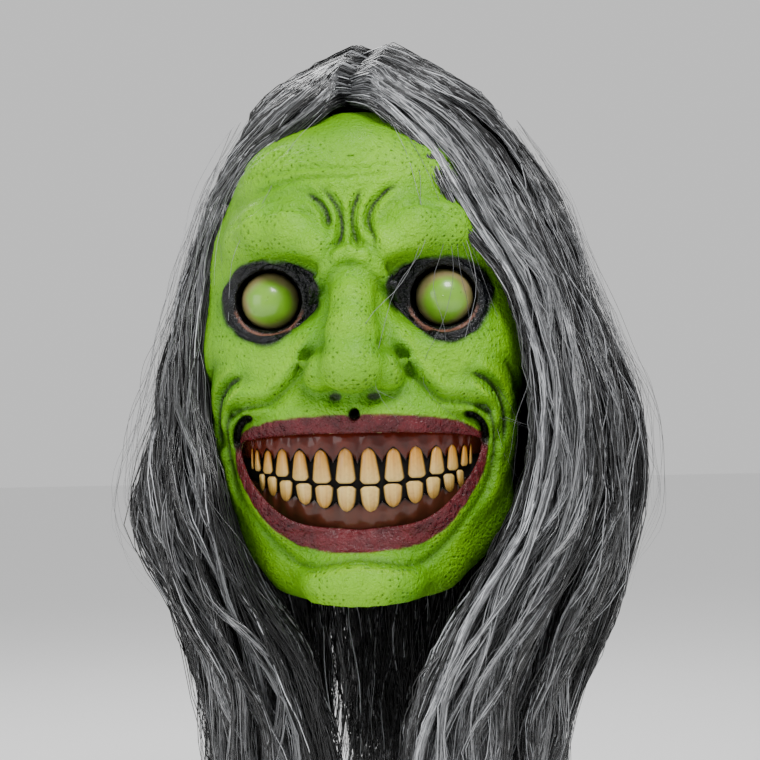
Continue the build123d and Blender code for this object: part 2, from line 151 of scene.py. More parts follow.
SKULL = ((0, 10, 15), (84, 100, 108))
JAW = ((0, -18, -60), (76, 72, 86))
EYE = (44.0, -67.0, 11.0)
EYE_RADIUS = 14.6
SKIN_WALL = 2.6
# the seam between rubber and cap slants back and down from its top, and ends at the foot
SEAM_TOP_Y = -50
SEAM_TOP_Z = 106
SEAM_SLOPE = 65 / 116
SEAM_FOOT_Z = -10
SKIN_REAR_Y = 15
JAW_FOLLOWS_Z = -60
CHIN_EDGE_Z = -143
JAW_EDGE = (-46, -141)
JAW_EDGE_RUN = (61, 69)
SEAM_LAP = 3.0
FAR_INSIDE = -50
BREATHING_HOLE_Z = -46.4
NOSTRIL = (9.6, -38.0)

# Drawn lines of the front view, in millimetres across and up. x is mirrored where the name says both.
SMILE_BOTH = smooth_line([(15, -14), (21.5, -16.5), (25, -24), (34, -33.5), (43, -40.5), (55, -42.5),
                          (63.5, -45.5), (67, -53), (67, -66), (63, -84), (55, -100)])
CORNER_BOTH = smooth_line([(52, -47.5), (58.5, -49), (62.5, -55), (63, -66)])
CHEEK_BOTH = smooth_line([(56, -27), (64, -30.5), (70, -38), (72.5, -50), (71.5, -66)])
TEMPLE_BOTH = smooth_line([(73, -20), (77.5, -30), (78, -42), (76, -54)])
CHIN_BOTH = smooth_line([(0, -118.2), (12, -119.8), (26, -122), (34, -119.5), (45, -109), (58, -93),
                         (67, -76)])
# each frown with its depth
FROWNS = [
    (smooth_line([(-23, 64), (-18.5, 61), (-14.5, 57), (-11.8, 51), (-11, 44)]), 1.5),
    (smooth_line([(-17, 68), (-10, 61), (-6, 54), (-4.6, 47), (-5.4, 40), (-9.6, 32)]), 1.5),
    (smooth_line([(5.5, 66), (3.0, 60), (0.8, 54), (0.4, 47), (1.6, 41), (5, 33)]), 1.7),
    (smooth_line([(25, 67), (19, 64.5), (12.5, 58.5), (8.8, 52), (9.0, 46), (11.6, 40), (12.4, 32)]), 1.7),
]
FOREHEAD = [
    smooth_line([(-58, 66), (-40, 73), (-22, 76), (-4, 74.5), (14, 76), (34, 77)]),
    smooth_line([(-60, 58), (-44, 66), (-26, 70), (-8, 70), (8, 71.5), (30, 73)]),
    smooth_line([(-62, 74), (-50, 83), (-36, 92)]),
    smooth_line([(-56, 70), (-44, 79), (-30, 88)]),
    smooth_line([(-50, 50), (-38, 56), (-26, 56), (-17, 50)]),
    smooth_line([(20, 54), (32, 57), (46, 53), (60, 48)]),
    smooth_line([(-66, 44), (-52, 54), (-38, 62)]),
    smooth_line([(30, 82), (44, 80), (54, 72)]),
]
# how deep each drawn crease is cut into the skin, in mm
CREASES = ((SMILE_BOTH, 0.8), (CORNER_BOTH, 1.2), (CHEEK_BOTH, 1.0), (TEMPLE_BOTH, 0.6), (CHIN_BOTH, 0.6))
# how far the shade of each crease reaches to each side, in mm
SHADED = ((SMILE_BOTH, 4.5), (CHEEK_BOTH, 4), (TEMPLE_BOTH, 3.5), (CHIN_BOTH, 3.5), (CORNER_BOTH, 5))
# half the width of each crease's black paint in mm, and how strong the paint is
BLACKENED = ((SMILE_BOTH, 1.5, 0.9), (CORNER_BOTH, 2.3, 1.0), (CHEEK_BOTH, 1.5, 0.9), (TEMPLE_BOTH, 1.3, 0.5),
             (CHIN_BOTH, 1.3, 0.35))
UPPER_LIP = smooth_line([(0, -52.2), (6, -50.6), (16, -50.8), (34, -51.8), (52, -54.4), (60.5, -60)])
LOWER_LIP = smooth_line([(61.5, -62), (59, -77), (47, -95.5), (31, -106.5), (14, -110), (0, -110.4)])
OPENING = smooth_line([(0, -55.8), (30, -56.2), (54, -58.5), (60.6, -62), (56.5, -76), (43.5, -92),
                       (28, -101), (0, -104.4)])


def smooth01(t):
    t = np.clip(t, 0, 1)
    return t * t * (3 - 2 * t)


def ends(along, share=0.16):
    """Fades a line in and out at its two ends."""
    return smooth01(along / share) * smooth01((1 - along) / share)


def mouth_field(x, z):
    """Distance to the open mouth's outline in the front view, negative inside it."""
    d, _, side = line(np.abs(x), z, OPENING)
    return d * side


def eye_radius(x, z):
    """How far a point is from an eye's middle, with the painted socket's outline at 1."""
    across = np.abs(x) - 43
    inner = smooth01(-across / 22)
    return np.hypot(across / (26.5 + 1.5 * inner), (z - 10.5 - 4 * inner) / (23.5 - 5.5 * inner))


def jaw_front(x, z, out=0.0):
    """The y of the jaw's front at a point of the front view, pushed out."""
    a, b, c = (h + out for h in JAW[1])
    rest = 1 - (x / a) ** 2 - ((z - JAW[0][2]) / c) ** 2
    return JAW[0][1] - b * np.sqrt(np.maximum(rest, 0.02))


def jaw_y(x, z, out):
    """The jaw's front at one point."""
    return float(jaw_front(np.float32(x), np.float32(z), out))


def face(p):
    """The outside of the rubber face as a signed field."""
    x, y, z = p[:, 0], p[:, 1], p[:, 2]
    m = p.copy()
    m[:, 0] = np.abs(x)
    mx = m[:, 0]
    f = blend(ellipsoid(p, *SKULL), ellipsoid(p, *JAW), 26)
    f = blend(f, ellipsoid(m, (30, -52, -84), (32, 36, 34)), 20)
    # cheekbones and the soft cheeks over the grin
    f = blend(f, ellipsoid(m, (46, -54, -17), (28, 28, 22)), 20)
    f = blend(f, ellipsoid(m, (58, -34, 4), (19.5, 28, 52)), 24)
    f = blend(f, chain(m, [(34, -78, -22, 9), (52, -68, -33, 9.5), (64, -50, -43, 9), (64, -44, -64, 8)]), 14)
    # muzzle over the upper teeth, and the chin
    f = blend(f, ellipsoid(p, (0, -64, -47), (50, 36, 18)), 14)
    f = blend(f, ellipsoid(p, (0, -80, -130), (30, 19, 15.5)), 12)
    f = blend(f, chain(m, [(0, -70, -132, 14), (34, -52, -122, 15), (58, -26, -98, 14)]), 18)
    # forehead and the heavy brows, which drop to an angry V in the middle
    f = blend(f, ellipsoid(p, (0, -52, 70), (56, 36, 28)), 24)
    f = blend(f, chain(m, [(10, -91, 30, 6.5), (18, -91, 36, 9.0), (31, -86, 44, 11.5), (45, -77, 45, 12.0),
                           (56, -63, 40, 10)]), 13)
    # eye sockets: wide, level along the top under the brow, with a swollen lid round each eye
    hollow = ellipsoid(m, (43, -90, 10.5), (27, 25, 20.5))
    hollow = blend(hollow, ellipsoid(m, (26, -94, 22), (11, 18, 9)), 6)
    f = carve(f, hollow, 5)
    f = blend(f, ellipsoid(m, EYE, (21.5, 15.5, 19.5)), 6)
    f = carve(f, ellipsoid(m, (EYE[0], EYE[1] - 6, EYE[2]), (16.6, 17.5, 15.4)), 3)
    # bags under the eyes
    f = blend(f, chain(m, [(24, -84, -8, 3.5), (40, -80, -15, 4.5), (58, -66, -9, 3.5)]), 8)
    # nose: narrow at its root and wide at its tip, with flared wings
    f = blend(f, ellipsoid(p, (0, -78, -14), (27, 19, 17)), 9)
    bridge = chain(p, [(0, -90, 26, 7.5), (0, -98, 10, 9.5), (0, -104, -6, 11.8), (0, -106, -21, 14.2)], 6)
    f = blend(f, bridge, 9)
    f = blend(f, ellipsoid(p, (0, -109, -23), (15, 12.5, 12)), 6)
    f = blend(f, ellipsoid(m, (17.2, -97, -24.5), (9.2, 12, 10.2)), 4.5)
    groove = chain(m, [(13, -106, -13, 1.2), (20, -101, -12.5, 1.6), (25.5, -93, -17, 1.5),
                       (28, -88, -24, 1.2)], 2)
    f = carve(f, groove, 5)
    f = carve(f, ellipsoid(m, (9.6, -104, -38.5), (5.2, 10, 4.2)), 2.5)
    f = carve(f, ellipsoid(p, (0, -100, BREATHING_HOLE_Z), (2.6, 16, 3.2)), 1.5)
    # the rolled fold over the root of the nose
    fold = chain(m, [(0, -99.5, 32.5, 3.9), (6, -98, 31, 3.6), (12, -94, 25.5, 3.4), (17.5, -88, 18, 3.1),
                     (21, -82, 10, 2.2)], 3)
    f = blend(f, fold, 2.4)
    # rolls of skin round the mouth's corners
    roll = chain(m, [(46, -84, -43.5, 2.2), (56, -77, -45, 3.0), (64.5, -67, -51, 3.4), (66, -60, -66, 3.2),
                     (61, -58, -84, 2.6)], 3)
    f = blend(f, roll, 4)
    # lips
    upper, lower = [], []
    for px, pz in UPPER_LIP[::3]:
        upper.append((px, jaw_y(px, pz, 1.5) - 2.0, pz, 4.0 - px * 0.022))
    for px, pz in LOWER_LIP[::3]:
        lower.append((px, jaw_y(px, pz, 1.5) - 1.0, pz, 3.3 + 2.6 * smooth01((58 - px) / 40)))
    f = blend(f, chain(m, upper, 2), 3)
    f = blend(f, chain(m, lower, 2), 3)
    front = smooth01((-y - 10) / 25)
    # drawn creases: the fold's outer side stands up and then drops into the crease
    d, t, side = line(mx, z, SMILE_BOTH)
    w = ends(t, 0.12) * front
    f = f + w * (1.2 * np.exp(-(d / 2.6) ** 2) - 2.4 * np.exp(-((d * side - 6.0) / 4.0) ** 2))
    d, t, side = line(mx, z, CORNER_BOTH)
    f = f + ends(t, 0.2) * front * 2.2 * np.exp(-(d / 2.4) ** 2)
    d, t, side = line(mx, z, CHEEK_BOTH)
    w = ends(t, 0.2) * front
    f = f + w * (1.2 * np.exp(-(d / 2.5) ** 2) - 1.7 * np.exp(-((np.abs(d) - 5.0) / 3.0) ** 2))
    d, t, side = line(mx, z, TEMPLE_BOTH)
    f = f + ends(t, 0.25) * front * 1.0 * np.exp(-(d / 2.4) ** 2)
    d, t, side = line(mx, z, CHIN_BOTH)
    f = f + front * smooth01((1 - t) / 0.2) * 1.4 * np.exp(-(d / 2.6) ** 2)
    for points, depth in FROWNS:
        d, t, side = line(x, z, points)
        w = ends(t, 0.22) * front
        f = f + w * (0.4 * depth * np.exp(-(d / 2.3) ** 2) - 0.9 * np.exp(-((d - 4.0) / 2.0) ** 2))
    return f


def fine_relief(p, black, lips):
    """Small wrinkles and pores, as a push along the normal."""
    x, z = p[:, 0], p[:, 2]
    push = np.zeros(len(p), dtype=np.float32)
    front = smooth01((-p[:, 1] - 10) / 25)
    for points, depth in CREASES:
        d, t, _ = line(np.abs(x), z, points)
        fade = smooth01((1 - t) / 0.2) if points is CHIN_BOTH else ends(t, 0.15)
        push -= depth * front * fade * np.exp(-(d / 1.1) ** 2)
    for points, depth in FROWNS:
        d, t, _ = line(x, z, points)
        push -= 0.45 * depth * front * ends(t, 0.22) * np.exp(-(d / 1.0) ** 2)
    for i, points in enumerate(FOREHEAD):
        d, t, _ = line(x + 1.2 * noise(p, 9, i), z + 1.0 * noise(p, 7, 40 + i), points)
        push -= ends(t, 0.25) * (1.1 * np.exp(-(d / 1.1) ** 2) - 0.6 * np.exp(-((d - 2.9) / 1.5) ** 2))
    # crumpled, mostly sideways, lines in the painted sockets
    ring = eye_radius(x, z)
    turn = np.arctan2(z - 11, np.abs(x) - 43.5)
    crumple = np.sin(ring * 34 + 1.3 * noise(p, 6, 3) + 0.8 * np.sin(turn * 3))
    push += black * smooth01((ring - 0.70) / 0.1) * (0.95 * crumple + 0.5 * noise(p, 3.4, 5))
    # upright wrinkles in the lips
    push += lips * (0.55 * noise(p * np.float32([1, 1, 0.22]), 2.6, 8) + 0.30 * noise(p, 4.2, 9))
    skin = (1 - black) * (1 - lips)
    crease = np.exp(-(line(np.abs(x), z, SMILE_BOTH)[0] / 2.5) ** 2)
    skin = skin * (1 - crease)
    push += skin * (0.10 * noise(p, 3.1, 11) + 0.22 * noise(p, 6.5, 12) + 0.40 * noise(p, 15, 13))
    return push


def seam_y(z):
    """Where the seam between rubber and cap crosses a level."""
    return SEAM_TOP_Y - (z - SEAM_TOP_Z) * SEAM_SLOPE


def trim(p):
    """Everything that lies behind the seam or below the jaw's edge is positive."""
    y, z = p[:, 1], p[:, 2]
    seam = (y - seam_y(z)) / math.hypot(1, SEAM_SLOPE) - SEAM_LAP
    rear = y - SKIN_REAR_Y
    run_y, run_z = JAW_EDGE_RUN
    jaw = ((y - JAW_EDGE[0]) * run_z - (z - JAW_EDGE[1]) * run_y) / math.hypot(run_y, run_z)
    low = -(z - CHIN_EDGE_Z - 3 * np.exp(-((y + 75) / 20) ** 2))
    upper = np.where(z > SEAM_FOOT_Z, seam, rear)
    return np.maximum(np.maximum(upper, np.where(z < JAW_FOLLOWS_Z, jaw, FAR_INSIDE)), low)


def shell(p):
    """The rubber's wall as a signed field."""
    f = face(p)
    wall = np.maximum(f, -(f + SKIN_WALL))
    wall = np.maximum(wall, trim(p))
    mouth = np.where(p[:, 1] < -20, mouth_field(p[:, 0], p[:, 2]), 9)
    wall = np.maximum(wall, -mouth)
    m = p.copy()
    m[:, 0] = np.abs(m[:, 0])
    ball = np.linalg.norm(m - np.float32(EYE), axis=1) - (EYE_RADIUS - 0.4)
    return np.maximum(wall, -ball)


# ---------------------------------------------------------------- meshing


def net(field, low, high, step):
    """A quad mesh of a field's zero surface, one point in each crossed cell."""
    axes = [np.arange(l, h + step, step, dtype=np.float32) for l, h in zip(low, high)]
    shape = tuple(len(a) for a in axes)
    grid = np.stack(np.meshgrid(*axes, indexing="ij"), axis=-1).reshape(-1, 3)
    parts = [field(grid[i:i + 400000]) for i in range(0, len(grid), 400000)]
    v = np.concatenate(parts).reshape(shape)
    inside = v < 0
    corners = [(i, j, k) for i in (0, 1) for j in (0, 1) for k in (0, 1)]

    def at(a, c):
        return a[c[0]:shape[0] - 1 + c[0], c[1]:shape[1] - 1 + c[1], c[2]:shape[2] - 1 + c[2]]

    count = sum(at(inside, c).astype(np.int8) for c in corners)
    active = (count > 0) & (count < 8)
    cells = np.argwhere(active)
    index = np.full(active.shape, -1, dtype=np.int64)
    index[active] = np.arange(len(cells))
    total = np.zeros((len(cells), 3))
    crossings = np.zeros(len(cells))
    for a in corners:
        for b in corners:
            if sum(abs(p - q) for p, q in zip(a, b)) != 1 or a > b:
                continue
            va, vb = at(v, a)[active], at(v, b)[active]
            crossed = (va < 0) != (vb < 0)
            t = np.where(crossed, va / np.where(crossed, va - vb, 1), 0)
            place = np.array(a)[None, :] + t[:, None] * (np.array(b) - np.array(a))[None, :]
            total += place * crossed[:, None]
            crossings += crossed
    verts = (cells + total / crossings[:, None]) * step + np.array([a[0] for a in axes])
    quads = []
    for axis in range(3):
        u, w = (axis + 1) % 3, (axis + 2) % 3
        first = [slice(None)] * 3
        first[axis] = slice(0, shape[axis] - 1)
        second = [slice(None)] * 3
        second[axis] = slice(1, shape[axis])
        change = inside[tuple(first)] != inside[tuple(second)]
        rising = inside[tuple(first)]
        spots = np.argwhere(change)
        for side in (u, w):
            spots = spots[(spots[:, side] > 0) & (spots[:, side] < shape[side] - 1)]
        ring = []
        for du, dw in ((0, 0), (-1, 0), (-1, -1), (0, -1)):
            c = spots.copy()
            c[:, u] += du
            c[:, w] += dw
            ring.append(index[c[:, 0], c[:, 1], c[:, 2]])
        quad = np.stack(ring, axis=1)
        flip = ~rising[spots[:, 0], spots[:, 1], spots[:, 2]]
        quad[flip] = quad[flip][:, ::-1]
        quads.append(quad)
    return verts.astype(np.float32), np.concatenate(quads)


def gradient(field, p, e=0.35):
    """The field's slope at each point."""
    g = np.zeros_like(p)
    for axis in range(3):
        step = np.zeros(3, dtype=np.float32)
        step[axis] = e
        g[:, axis] = (field(p + step) - field(p - step)) / (2 * e)
    return g


def settle(field, p, rounds=2, limit=1.2):
    """Moves points onto the field's zero surface."""
    for _ in range(rounds):
        g = gradient(field, p)
        size = np.maximum((g * g).sum(axis=1), 0.15)
        step = -field(p)[:, None] * g / size[:, None]
        length = np.linalg.norm(step, axis=1, keepdims=True)
        p = p + step * np.minimum(1, limit / np.maximum(length, 1e-6))
    return p.astype(np.float32)


def split_quads(verts, quads):
    """Each quad becomes four."""
    edges = np.stack([quads, np.roll(quads, -1, axis=1)], axis=2).reshape(-1, 2)
    edges = np.sort(edges, axis=1)
    unique, inverse = np.unique(edges, axis=0, return_inverse=True)
    inverse = inverse.reshape(-1, 4)
    mids = verts[unique].mean(axis=1)
    centres = verts[quads].mean(axis=1)
    n, m = len(verts), len(unique)
    e = inverse + n
    c = (np.arange(len(quads)) + n + m)
    new = []
    for i in range(4):
        new.append(np.stack([quads[:, i], e[:, i], c, e[:, i - 1]], axis=1))
    return np.vstack([verts, mids, centres]), np.concatenate(new)


def used_only(verts, quads):
    """Drops the points that no face uses."""
    used, flat = np.unique(quads, return_inverse=True)
    return verts[used], flat.reshape(quads.shape)


def build(name, verts, groups, colours=None, places=None):
    """A mesh object from millimetre points and one or more arrays of equal-sided faces."""
    mesh = bpy.data.meshes.new(name)
    if not isinstance(groups, list) or not isinstance(groups[0], np.ndarray):
        groups = [np.asarray(groups, dtype=np.int32)]
    loops = np.concatenate([g.ravel() for g in groups]).astype(np.int32)
    sides = np.concatenate([np.full(len(g), g.shape[1], dtype=np.int32) for g in groups])
    starts = np.concatenate([[0], np.cumsum(sides)[:-1]]).astype(np.int32)
    mesh.vertices.add(len(verts))
    mesh.vertices.foreach_set("co", (np.asarray(verts, dtype=np.float32) * MM).ravel())
    mesh.loops.add(len(loops))
    mesh.loops.foreach_set("vertex_index", loops)
    mesh.polygons.add(len(sides))
    mesh.polygons.foreach_set("loop_start", starts)
    mesh.polygons.foreach_set("loop_total", sides)
    mesh.polygons.foreach_set("use_smooth", np.full(len(sides), True))
    for key, values in (colours or {}).items():
        layer = mesh.color_attributes.new(key, "FLOAT_COLOR", "POINT")
        full = np.ones((len(verts), 4), dtype=np.float32)
        full[:, :values.shape[1]] = values
        layer.data.foreach_set("color", full.ravel())
    if places is not None:
        layer = mesh.uv_layers.new(name="OFBake")
        layer.data.foreach_set("uv", np.asarray(places, dtype=np.float32)[loops].ravel())
    mesh.update()
    mesh.validate()
    piece = bpy.data.objects.new(name, mesh)
    bpy.context.scene.collection.objects.link(piece)
    return piece


# ---------------------------------------------------------------- materials


def shader(name):
    """A new node material and its Principled shader."""
    mat = bpy.data.materials.new(name)
    mat.use_nodes = True
    tree = mat.node_tree
    principled = tree.nodes["Principled BSDF"]
    return mat, tree, principled


def larger(tree, a, b):
    """The larger of two values."""
    node = tree.nodes.new("ShaderNodeMath")
    node.operation = "MAXIMUM"
    tree.links.new(a, node.inputs[0])
    tree.links.new(b, node.inputs[1])
    return node.outputs[0]


def mixed(tree, factor, a, b):
    """A colour mix; each input is a socket or a value."""
    node = tree.nodes.new("ShaderNodeMix")
    node.data_type = "RGBA"
    for socket, value in ((node.inputs[0], factor), (node.inputs[6], a), (node.inputs[7], b)):
        if hasattr(value, "links"):
            tree.links.new(value, socket)
        elif isinstance(value, (int, float)):
            socket.default_value = value
        else:
            socket.default_value = (*value, 1)
    return node.outputs[2]


def ramp(tree, source, low, high, to_low=0.0, to_high=1.0):
    """A value mapped from one range to another."""
    node = tree.nodes.new("ShaderNodeMapRange")
    node.inputs[1].default_value = low
    node.inputs[2].default_value = high
    node.inputs[3].default_value = to_low
    node.inputs[4].default_value = to_high
    tree.links.new(source, node.inputs[0])
    return node.outputs[0]


def grain(tree, scale, detail=3.0):
    """Procedural noise in object space; scale is features per metre."""
    coords = tree.nodes.new("ShaderNodeTexCoord")
    node = tree.nodes.new("ShaderNodeTexNoise")
    node.inputs["Scale"].default_value = scale
    node.inputs["Detail"].default_value = detail
    tree.links.new(coords.outputs["Object"], node.inputs["Vector"])
    return node.outputs[0]


def mottled(tree, scale, detail, dark, pale, low=0.35):
    """Two colours mixed by noise."""
    return mixed(tree, ramp(tree, grain(tree, scale, detail), low, 0.7), dark, pale)


def bump(tree, principled, heights, strength=0.5, distance=0.0005):
    """Joins one or more height sockets into the shader's normal."""
    normal = None
    for height, share in heights:
        node = tree.nodes.new("ShaderNodeBump")
        node.inputs["Strength"].default_value = strength * share
        node.inputs["Distance"].default_value = distance
        tree.links.new(height, node.inputs["Height"])
        if normal is not None:
            tree.links.new(normal, node.inputs["Normal"])
        normal = node.outputs["Normal"]
    tree.links.new(normal, principled.inputs["Normal"])


def attribute(tree, name):
    """The three channels of a colour attribute."""
    node = tree.nodes.new("ShaderNodeAttribute")
    node.attribute_name = name
    split = tree.nodes.new("ShaderNodeSeparateColor")
    tree.links.new(node.outputs["Color"], split.inputs[0])
    return split.outputs[0], split.outputs[1], split.outputs[2]


def skin_material():
    """Painted latex: lime skin with painted shade darkening its folds and hollows and a painted highlight on
    raised parts, black sockets and dark red lips.
    """
    mat, tree, p = shader("painted_latex")
    black, lips, shade = attribute(tree, "paint")
    painted_highlight, dark, rim = attribute(tree, "relief")
    patches = ramp(tree, grain(tree, 26, 4), 0.35, 0.68)
    speckle = ramp(tree, grain(tree, 420, 2), 0.45, 0.75)
    base = mixed(tree, patches, (0.125, 0.390, 0.0), (0.200, 0.520, 0.0))
    # painted highlight: raised skin that faces forward turns pale yellow-green
    base = mixed(tree, ramp(tree, painted_highlight, 0, 1, 0, 0.6), base, (0.360, 0.720, 0.006))
    base = mixed(tree, ramp(tree, speckle, 0, 1, 0, 0.12), base, (0.080, 0.280, 0.001))
    # painted shade turns folds, hollows, the socket surrounds and the receding sides dark green
    base = mixed(tree, ramp(tree, shade, 0, 1, 0, 0.85), base, (0.040, 0.145, 0.001))
    lip = mottled(tree, 160, 3, (0.130, 0.014, 0.019), (0.062, 0.007, 0.010))
    base = mixed(tree, lips, base, lip)
    soot = mottled(tree, 300, 2, (0.0015, 0.0015, 0.002), (0.007, 0.008, 0.011), 0.4)
    base = mixed(tree, black, base, soot)
    # black paint in the creases, and painted shade in the breathing hole and the nostrils
    base = mixed(tree, dark, base, (0.006, 0.006, 0.004))
    base = mixed(tree, ramp(tree, rim, 0, 1, 0, 0.85), base, (0.22, 0.095, 0.065))
    tree.links.new(base, p.inputs["Base Color"])
    rough = ramp(tree, larger(tree, lips, black), 0, 1, 0.40, 0.20)
    tree.links.new(rough, p.inputs["Roughness"])
    p.inputs["Specular IOR Level"].default_value = 0.34
    p.inputs["Coat Weight"].default_value = 0.04
    p.inputs["Coat Roughness"].default_value = 0.3
    pores = [(grain(tree, 800, 2), 0.9), (grain(tree, 420, 3), 1.2), (grain(tree, 170, 3), 0.9)]
    bump(tree, p, pores, 1.0, 0.0011)
    return mat


def lining_material():
    """The raw inside of the latex."""
    mat, tree, p = shader("raw_latex")
    tone = mottled(tree, 60, 4, (0.30, 0.33, 0.10), (0.42, 0.44, 0.20), 0.3)
    tree.links.new(tone, p.inputs["Base Color"])
    p.inputs["Roughness"].default_value = 0.62
    bump(tree, p, [(grain(tree, 200, 4), 1.0)], 0.4, 0.0006)
    return mat


def eye_material():
    """Blank glossy eye: green middle, flesh and olive rim, brown flecks."""
    mat, tree, p = shader("painted_eye")
    rim, low, fleck = attribute(tree, "paint")
    base = mottled(tree, 90, 3, (0.150, 0.370, 0.012), (0.200, 0.440, 0.018))
    flesh = mottled(tree, 120, 3, (0.300, 0.235, 0.110), (0.200, 0.190, 0.060), 0.4)
    base = mixed(tree, rim, base, flesh)
    base = mixed(tree, low, base, (0.10, 0.085, 0.02))
    base = mixed(tree, fleck, base, (0.05, 0.03, 0.01))
    tree.links.new(base, p.inputs["Base Color"])
    p.inputs["Roughness"].default_value = 0.34
    p.inputs["Coat Weight"].default_value = 0.6
    p.inputs["Coat Roughness"].default_value = 0.12
    bump(tree, p, [(grain(tree, 260, 3), 1.0)], 0.15, 0.0004)
    return mat


def gum_material():
    """Wet dark red-brown gums."""
    mat, tree, p = shader("wet_gum")
    dark, red, _ = attribute(tree, "paint")
    base = mottled(tree, 130, 4, (0.070, 0.005, 0.002), (0.150, 0.014, 0.005))
    base = mixed(tree, red, base, (0.075, 0.030, 0.016))
    base = mixed(tree, dark, base, (0.004, 0.002, 0.0015))
    tree.links.new(base, p.inputs["Base Color"])
    p.inputs["Roughness"].default_value = 0.24
    p.inputs["Specular IOR Level"].default_value = 0.22
    p.inputs["Coat Weight"].default_value = 0.30
    p.inputs["Coat Roughness"].default_value = 0.06
    bump(tree, p, [(grain(tree, 240, 3), 1.0)], 0.35, 0.0006)
    return mat


def tooth_material():
    """Stained ivory with orange streaks and dark edges."""
    mat, tree, p = shader("stained_tooth")
    edge, streak, tone = attribute(tree, "paint")
    base = mixed(tree, tone, (0.78, 0.58, 0.190), (0.66, 0.29, 0.020))
    base = mixed(tree, streak, base, (0.36, 0.12, 0.006))
    base = mixed(tree, ramp(tree, grain(tree, 500, 3), 0.5, 0.8, 0, 0.35), base, (0.24, 0.13, 0.03))
    base = mixed(tree, edge, base, (0.016, 0.012, 0.006))
    tree.links.new(base, p.inputs["Base Color"])
    p.inputs["Roughness"].default_value = 0.36
    p.inputs["Coat Weight"].default_value = 0.35
    p.inputs["Coat Roughness"].default_value = 0.2
    bump(tree, p, [(grain(tree, 420, 3), 1.0)], 0.25, 0.0005)
    return mat


def plain_material(name, low, high, roughness, scale=300, strength=0.4, weave=0.0, metallic=0.0, coat=0.0):
    """A two-tone material with a fine grain and, on cloth, a woven bump."""
    mat, tree, p = shader(name)
    tree.links.new(mottled(tree, scale, 3, low, high), p.inputs["Base Color"])
    p.inputs["Roughness"].default_value = roughness
    p.inputs["Metallic"].default_value = metallic
    p.inputs["Coat Weight"].default_value = coat
    heights = [(grain(tree, scale * 2, 3), 0.6)]
    if weave:
        coords = tree.nodes.new("ShaderNodeTexCoord")
        for axis in ("X", "Z"):
            wave = tree.nodes.new("ShaderNodeTexWave")
            wave.bands_direction = axis
            wave.inputs["Scale"].default_value = weave
            wave.inputs["Distortion"].default_value = 0.4
            tree.links.new(coords.outputs["Object"], wave.inputs["Vector"])
            heights.append((wave.outputs["Fac"], 1.0))
    bump(tree, p, heights, strength, 0.0005)
    return mat


def hair_material():
    """Glossy synthetic fibre; each strand carries its own tone."""
    mat, tree, p = shader("wig_fibre")
    node = tree.nodes.new("ShaderNodeAttribute")
    node.attribute_name = "tone"
    flecks = ramp(tree, grain(tree, 150, 2), 0.3, 0.7, 0.75, 1.25)
    scale = tree.nodes.new("ShaderNodeVectorMath")
    scale.operation = "SCALE"
    tree.links.new(node.outputs["Color"], scale.inputs[0])
    tree.links.new(flecks, scale.inputs["Scale"])
    tree.links.new(scale.outputs[0], p.inputs["Base Color"])
    p.inputs["Roughness"].default_value = 0.27
    p.inputs["Specular IOR Level"].default_value = 0.8
    p.inputs["Coat Weight"].default_value = 0.3
    p.inputs["Coat Roughness"].default_value = 0.2
    return mat


MATERIALS = {}


def wear(piece, mat):
    """Puts a material on a piece."""
    piece.data.materials.clear()
    piece.data.materials.append(mat)
    return piece


# ---------------------------------------------------------------- the face


